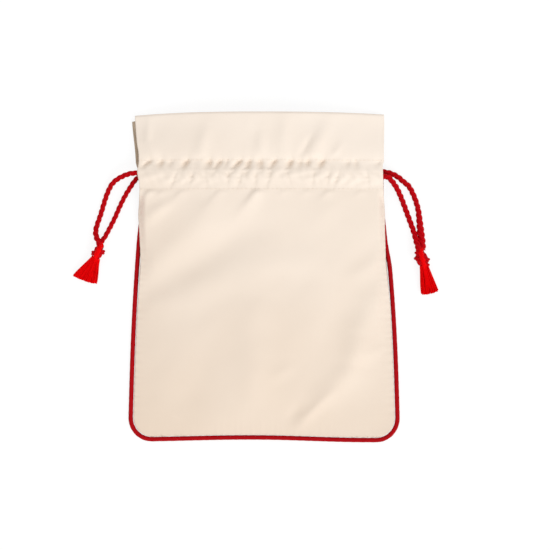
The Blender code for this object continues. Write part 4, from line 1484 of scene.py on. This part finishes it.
def winding(place, knot_lean, length, width, turns, slant):
    """Line of the cord that goes round the pair, from the knot's upper face down. Both ends tuck inwards."""
    count = int(turns * POINTS_A_TURN)
    line = []
    for number in range(count + 1):
        share = number / count
        angle = TURN * turns * share + START_ANGLE
        ease = min(1.0, EASE_START + min(share, 1 - share) * turns * EASE_RATE)
        across = -(width / 2 - KNOT_CORD / 2) * math.cos(angle) * ease
        up = (KNOT_RADIUS - KNOT_CORD / 2) * math.sin(angle) * ease
        down = KNOT_CORD / 2 + (length - KNOT_CORD) * share + slant * across
        line.append((place[0] + knot_lean * share + across, place[1] - down, KNOT_RADIUS + up))
    return smooth_line(line, KNOT_STEP)


def front_pass(crown, foot):
    """Line of the last pass, from behind the knot's upper face over its front to its foot."""
    places = [
        crown + (0.0004, 0.0012, 0.0004),
        crown + (0.0002, -0.0012, 0.0026),
        (crown + foot) / 2 + (0.0000, 0.0000, 0.0034),
        foot + (0.0000, 0.0016, 0.0022),
        foot + (-0.0002, -0.0010, 0.0004),
    ]
    return smooth_line(places, KNOT_STEP)


# %% [markdown]
# Tying the knots
#
# Each knot is two pieces, because it shows two reds, and the brighter one on the front pass is partly a
# painted highlight. The front pass is one, and the winding, the strands' ends and the core are joined in the
# other. Both stand for the knot's one node.

# %% Tied knots
CORE_SHARES = (0.33, 0.46, 0.75)
LEFT_KNOT_LENGTH = 0.0090
RIGHT_KNOT_LENGTH = 0.0104
LEFT_KNOT_LEAN = -0.0026
RIGHT_KNOT_LEAN = 0.0024


def knot_tube(line):
    return plied_tube(line, KNOT_CORD, KNOT_SIDES)


def join_into(shape, part):
    """Moves the faces of one bmesh into another."""
    mesh = bpy.data.meshes.new("part")
    part.to_mesh(mesh)
    part.free()
    shape.from_mesh(mesh)
    bpy.data.meshes.remove(mesh)


def knot(node, place, knot_lean, length, width, turns, slant, ends):
    """One knot, with its upper face at place and the ends of its two strands."""
    shape = knot_tube(winding(place, knot_lean, length, width, turns, slant))
    foot = np.array((place[0] + knot_lean, place[1] - length, KNOT_RADIUS))
    crown = np.array((place[0], place[1], KNOT_RADIUS))
    middle = (crown + foot) / 2
    # The front pass takes the brighter tassel red, partly as a painted highlight on the knot's front.
    piece(node + "_front_pass", knot_tube(front_pass(crown, foot)), thread_finish, "red_cord", node)
    for end in ends:
        start = np.array(end)
        inside = smooth_line([start + (0, 0.0004, 0), start - (0, 0.0012, 0), middle], KNOT_STEP)
        join_into(shape, knot_tube(inside))
    core = bmesh.ops.create_uvsphere(shape, u_segments=18, v_segments=12, radius=1)["verts"]
    sizes = [size * share for size, share in zip((width, length, KNOT_RADIUS), CORE_SHARES)]
    bmesh.ops.scale(shape, vec=sizes, verts=core)
    bmesh.ops.translate(shape, vec=middle, verts=core)
    return piece(node + "_tied", shape, cord_finish, "red_cord", node)


knot("left_knot", LEFT_KNOT, LEFT_KNOT_LEAN, LEFT_KNOT_LENGTH, 0.0086, 1.7, 0.20, left_ends)
knot("right_knot", RIGHT_KNOT, RIGHT_KNOT_LEAN, RIGHT_KNOT_LENGTH, 0.0112, 1.8, 0.38, right_ends)

# %% [markdown]
# The tassels
#
# Past the knot the cord is combed out into loose threads, cut to one length. Each tassel is a few hundred
# separate threads that leave the knot as one bundle, spread and sink to the table. They are curves with a
# small round section, made in one object, because a mesh for each thread would only cost time.

# %% Tassels of loose threads
THREADS = 300
TASSEL_THREAD = 0.00048
TASSEL_NECK = 0.0026
TASSEL_THICKNESS = 0.0046
THREAD_STEPS = 7
UNEVEN_CUT = 0.035
ROUNDED_HEM = 0.04
THREAD_WANDER = 0.0004
WANDER_RATE = 3.0
SPREAD_POWER = 1.1
THICKEN_RATE = 1.6
SINK_RATE = 1.8
OVERLAP = 0.0012


def tassel(node, top, width, length, turn, hem_turn, seed):
    """Loose threads from the foot of a knot to their hem. Both angles are counted from straight down."""
    dice = random.Random(seed)
    curve = bpy.data.curves.new(node + "_threads", "CURVE")
    curve.dimensions = "3D"
    curve.bevel_depth = TASSEL_THREAD / 2
    curve.bevel_resolution = 0
    curve.use_fill_caps = True
    heading = Vector((math.sin(turn), -math.cos(turn), 0))
    for _ in range(THREADS):
        angle = dice.uniform(0, TURN)
        ring = math.sqrt(dice.uniform(0.02, 1))
        across, up = ring * math.cos(angle), ring * math.sin(angle)
        cut = length * (1 + UNEVEN_CUT * dice.uniform(-1, 1) - ROUNDED_HEM * across**2)
        drift = dice.gauss(0, THREAD_WANDER)
        spline = curve.splines.new("POLY")
        spline.points.add(THREAD_STEPS)
        for place_number, point in enumerate(spline.points):
            share = place_number / THREAD_STEPS
            side_turn = between(turn, hem_turn, share)
            sideways = Vector((math.cos(side_turn), math.sin(side_turn), 0))
            half = between(TASSEL_NECK, width / 2, share**SPREAD_POWER)
            thick = between(TASSEL_NECK, TASSEL_THICKNESS / 2, min(1, share * THICKEN_RATE))
            level = between(KNOT_RADIUS, TASSEL_THICKNESS / 2 + TASSEL_THREAD, min(1, share * SINK_RATE))
            wander = drift * math.sin(WANDER_RATE * share + angle) * share
            at = top + heading * (cut * share) + sideways * (across * half + wander)
            at.z = max(level + up * thick, TASSEL_THREAD / 2)
            point.co = (*at, 1)
    curve.materials.append(thread_finish.material)
    made = bpy.data.objects.new(node + "_threads", curve)
    bpy.context.scene.collection.objects.link(made)
    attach(made, ROOT)
    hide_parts(node)
    print(node, "has", THREADS, "threads")


def knot_foot(place, knot_lean, length):
    """Where a tassel starts: a little inside the foot of its knot."""
    return Vector((place[0] + knot_lean, place[1] - length + OVERLAP, KNOT_RADIUS))


left_top = knot_foot(LEFT_KNOT, LEFT_KNOT_LEAN, LEFT_KNOT_LENGTH)
right_top = knot_foot(RIGHT_KNOT, RIGHT_KNOT_LEAN, RIGHT_KNOT_LENGTH)
tassel("left_tassel", left_top, 0.0158, 0.0163, math.radians(-28), math.radians(-20), 5)
tassel("right_tassel", right_top, 0.0110, 0.0180, math.radians(13), math.radians(12), 8)
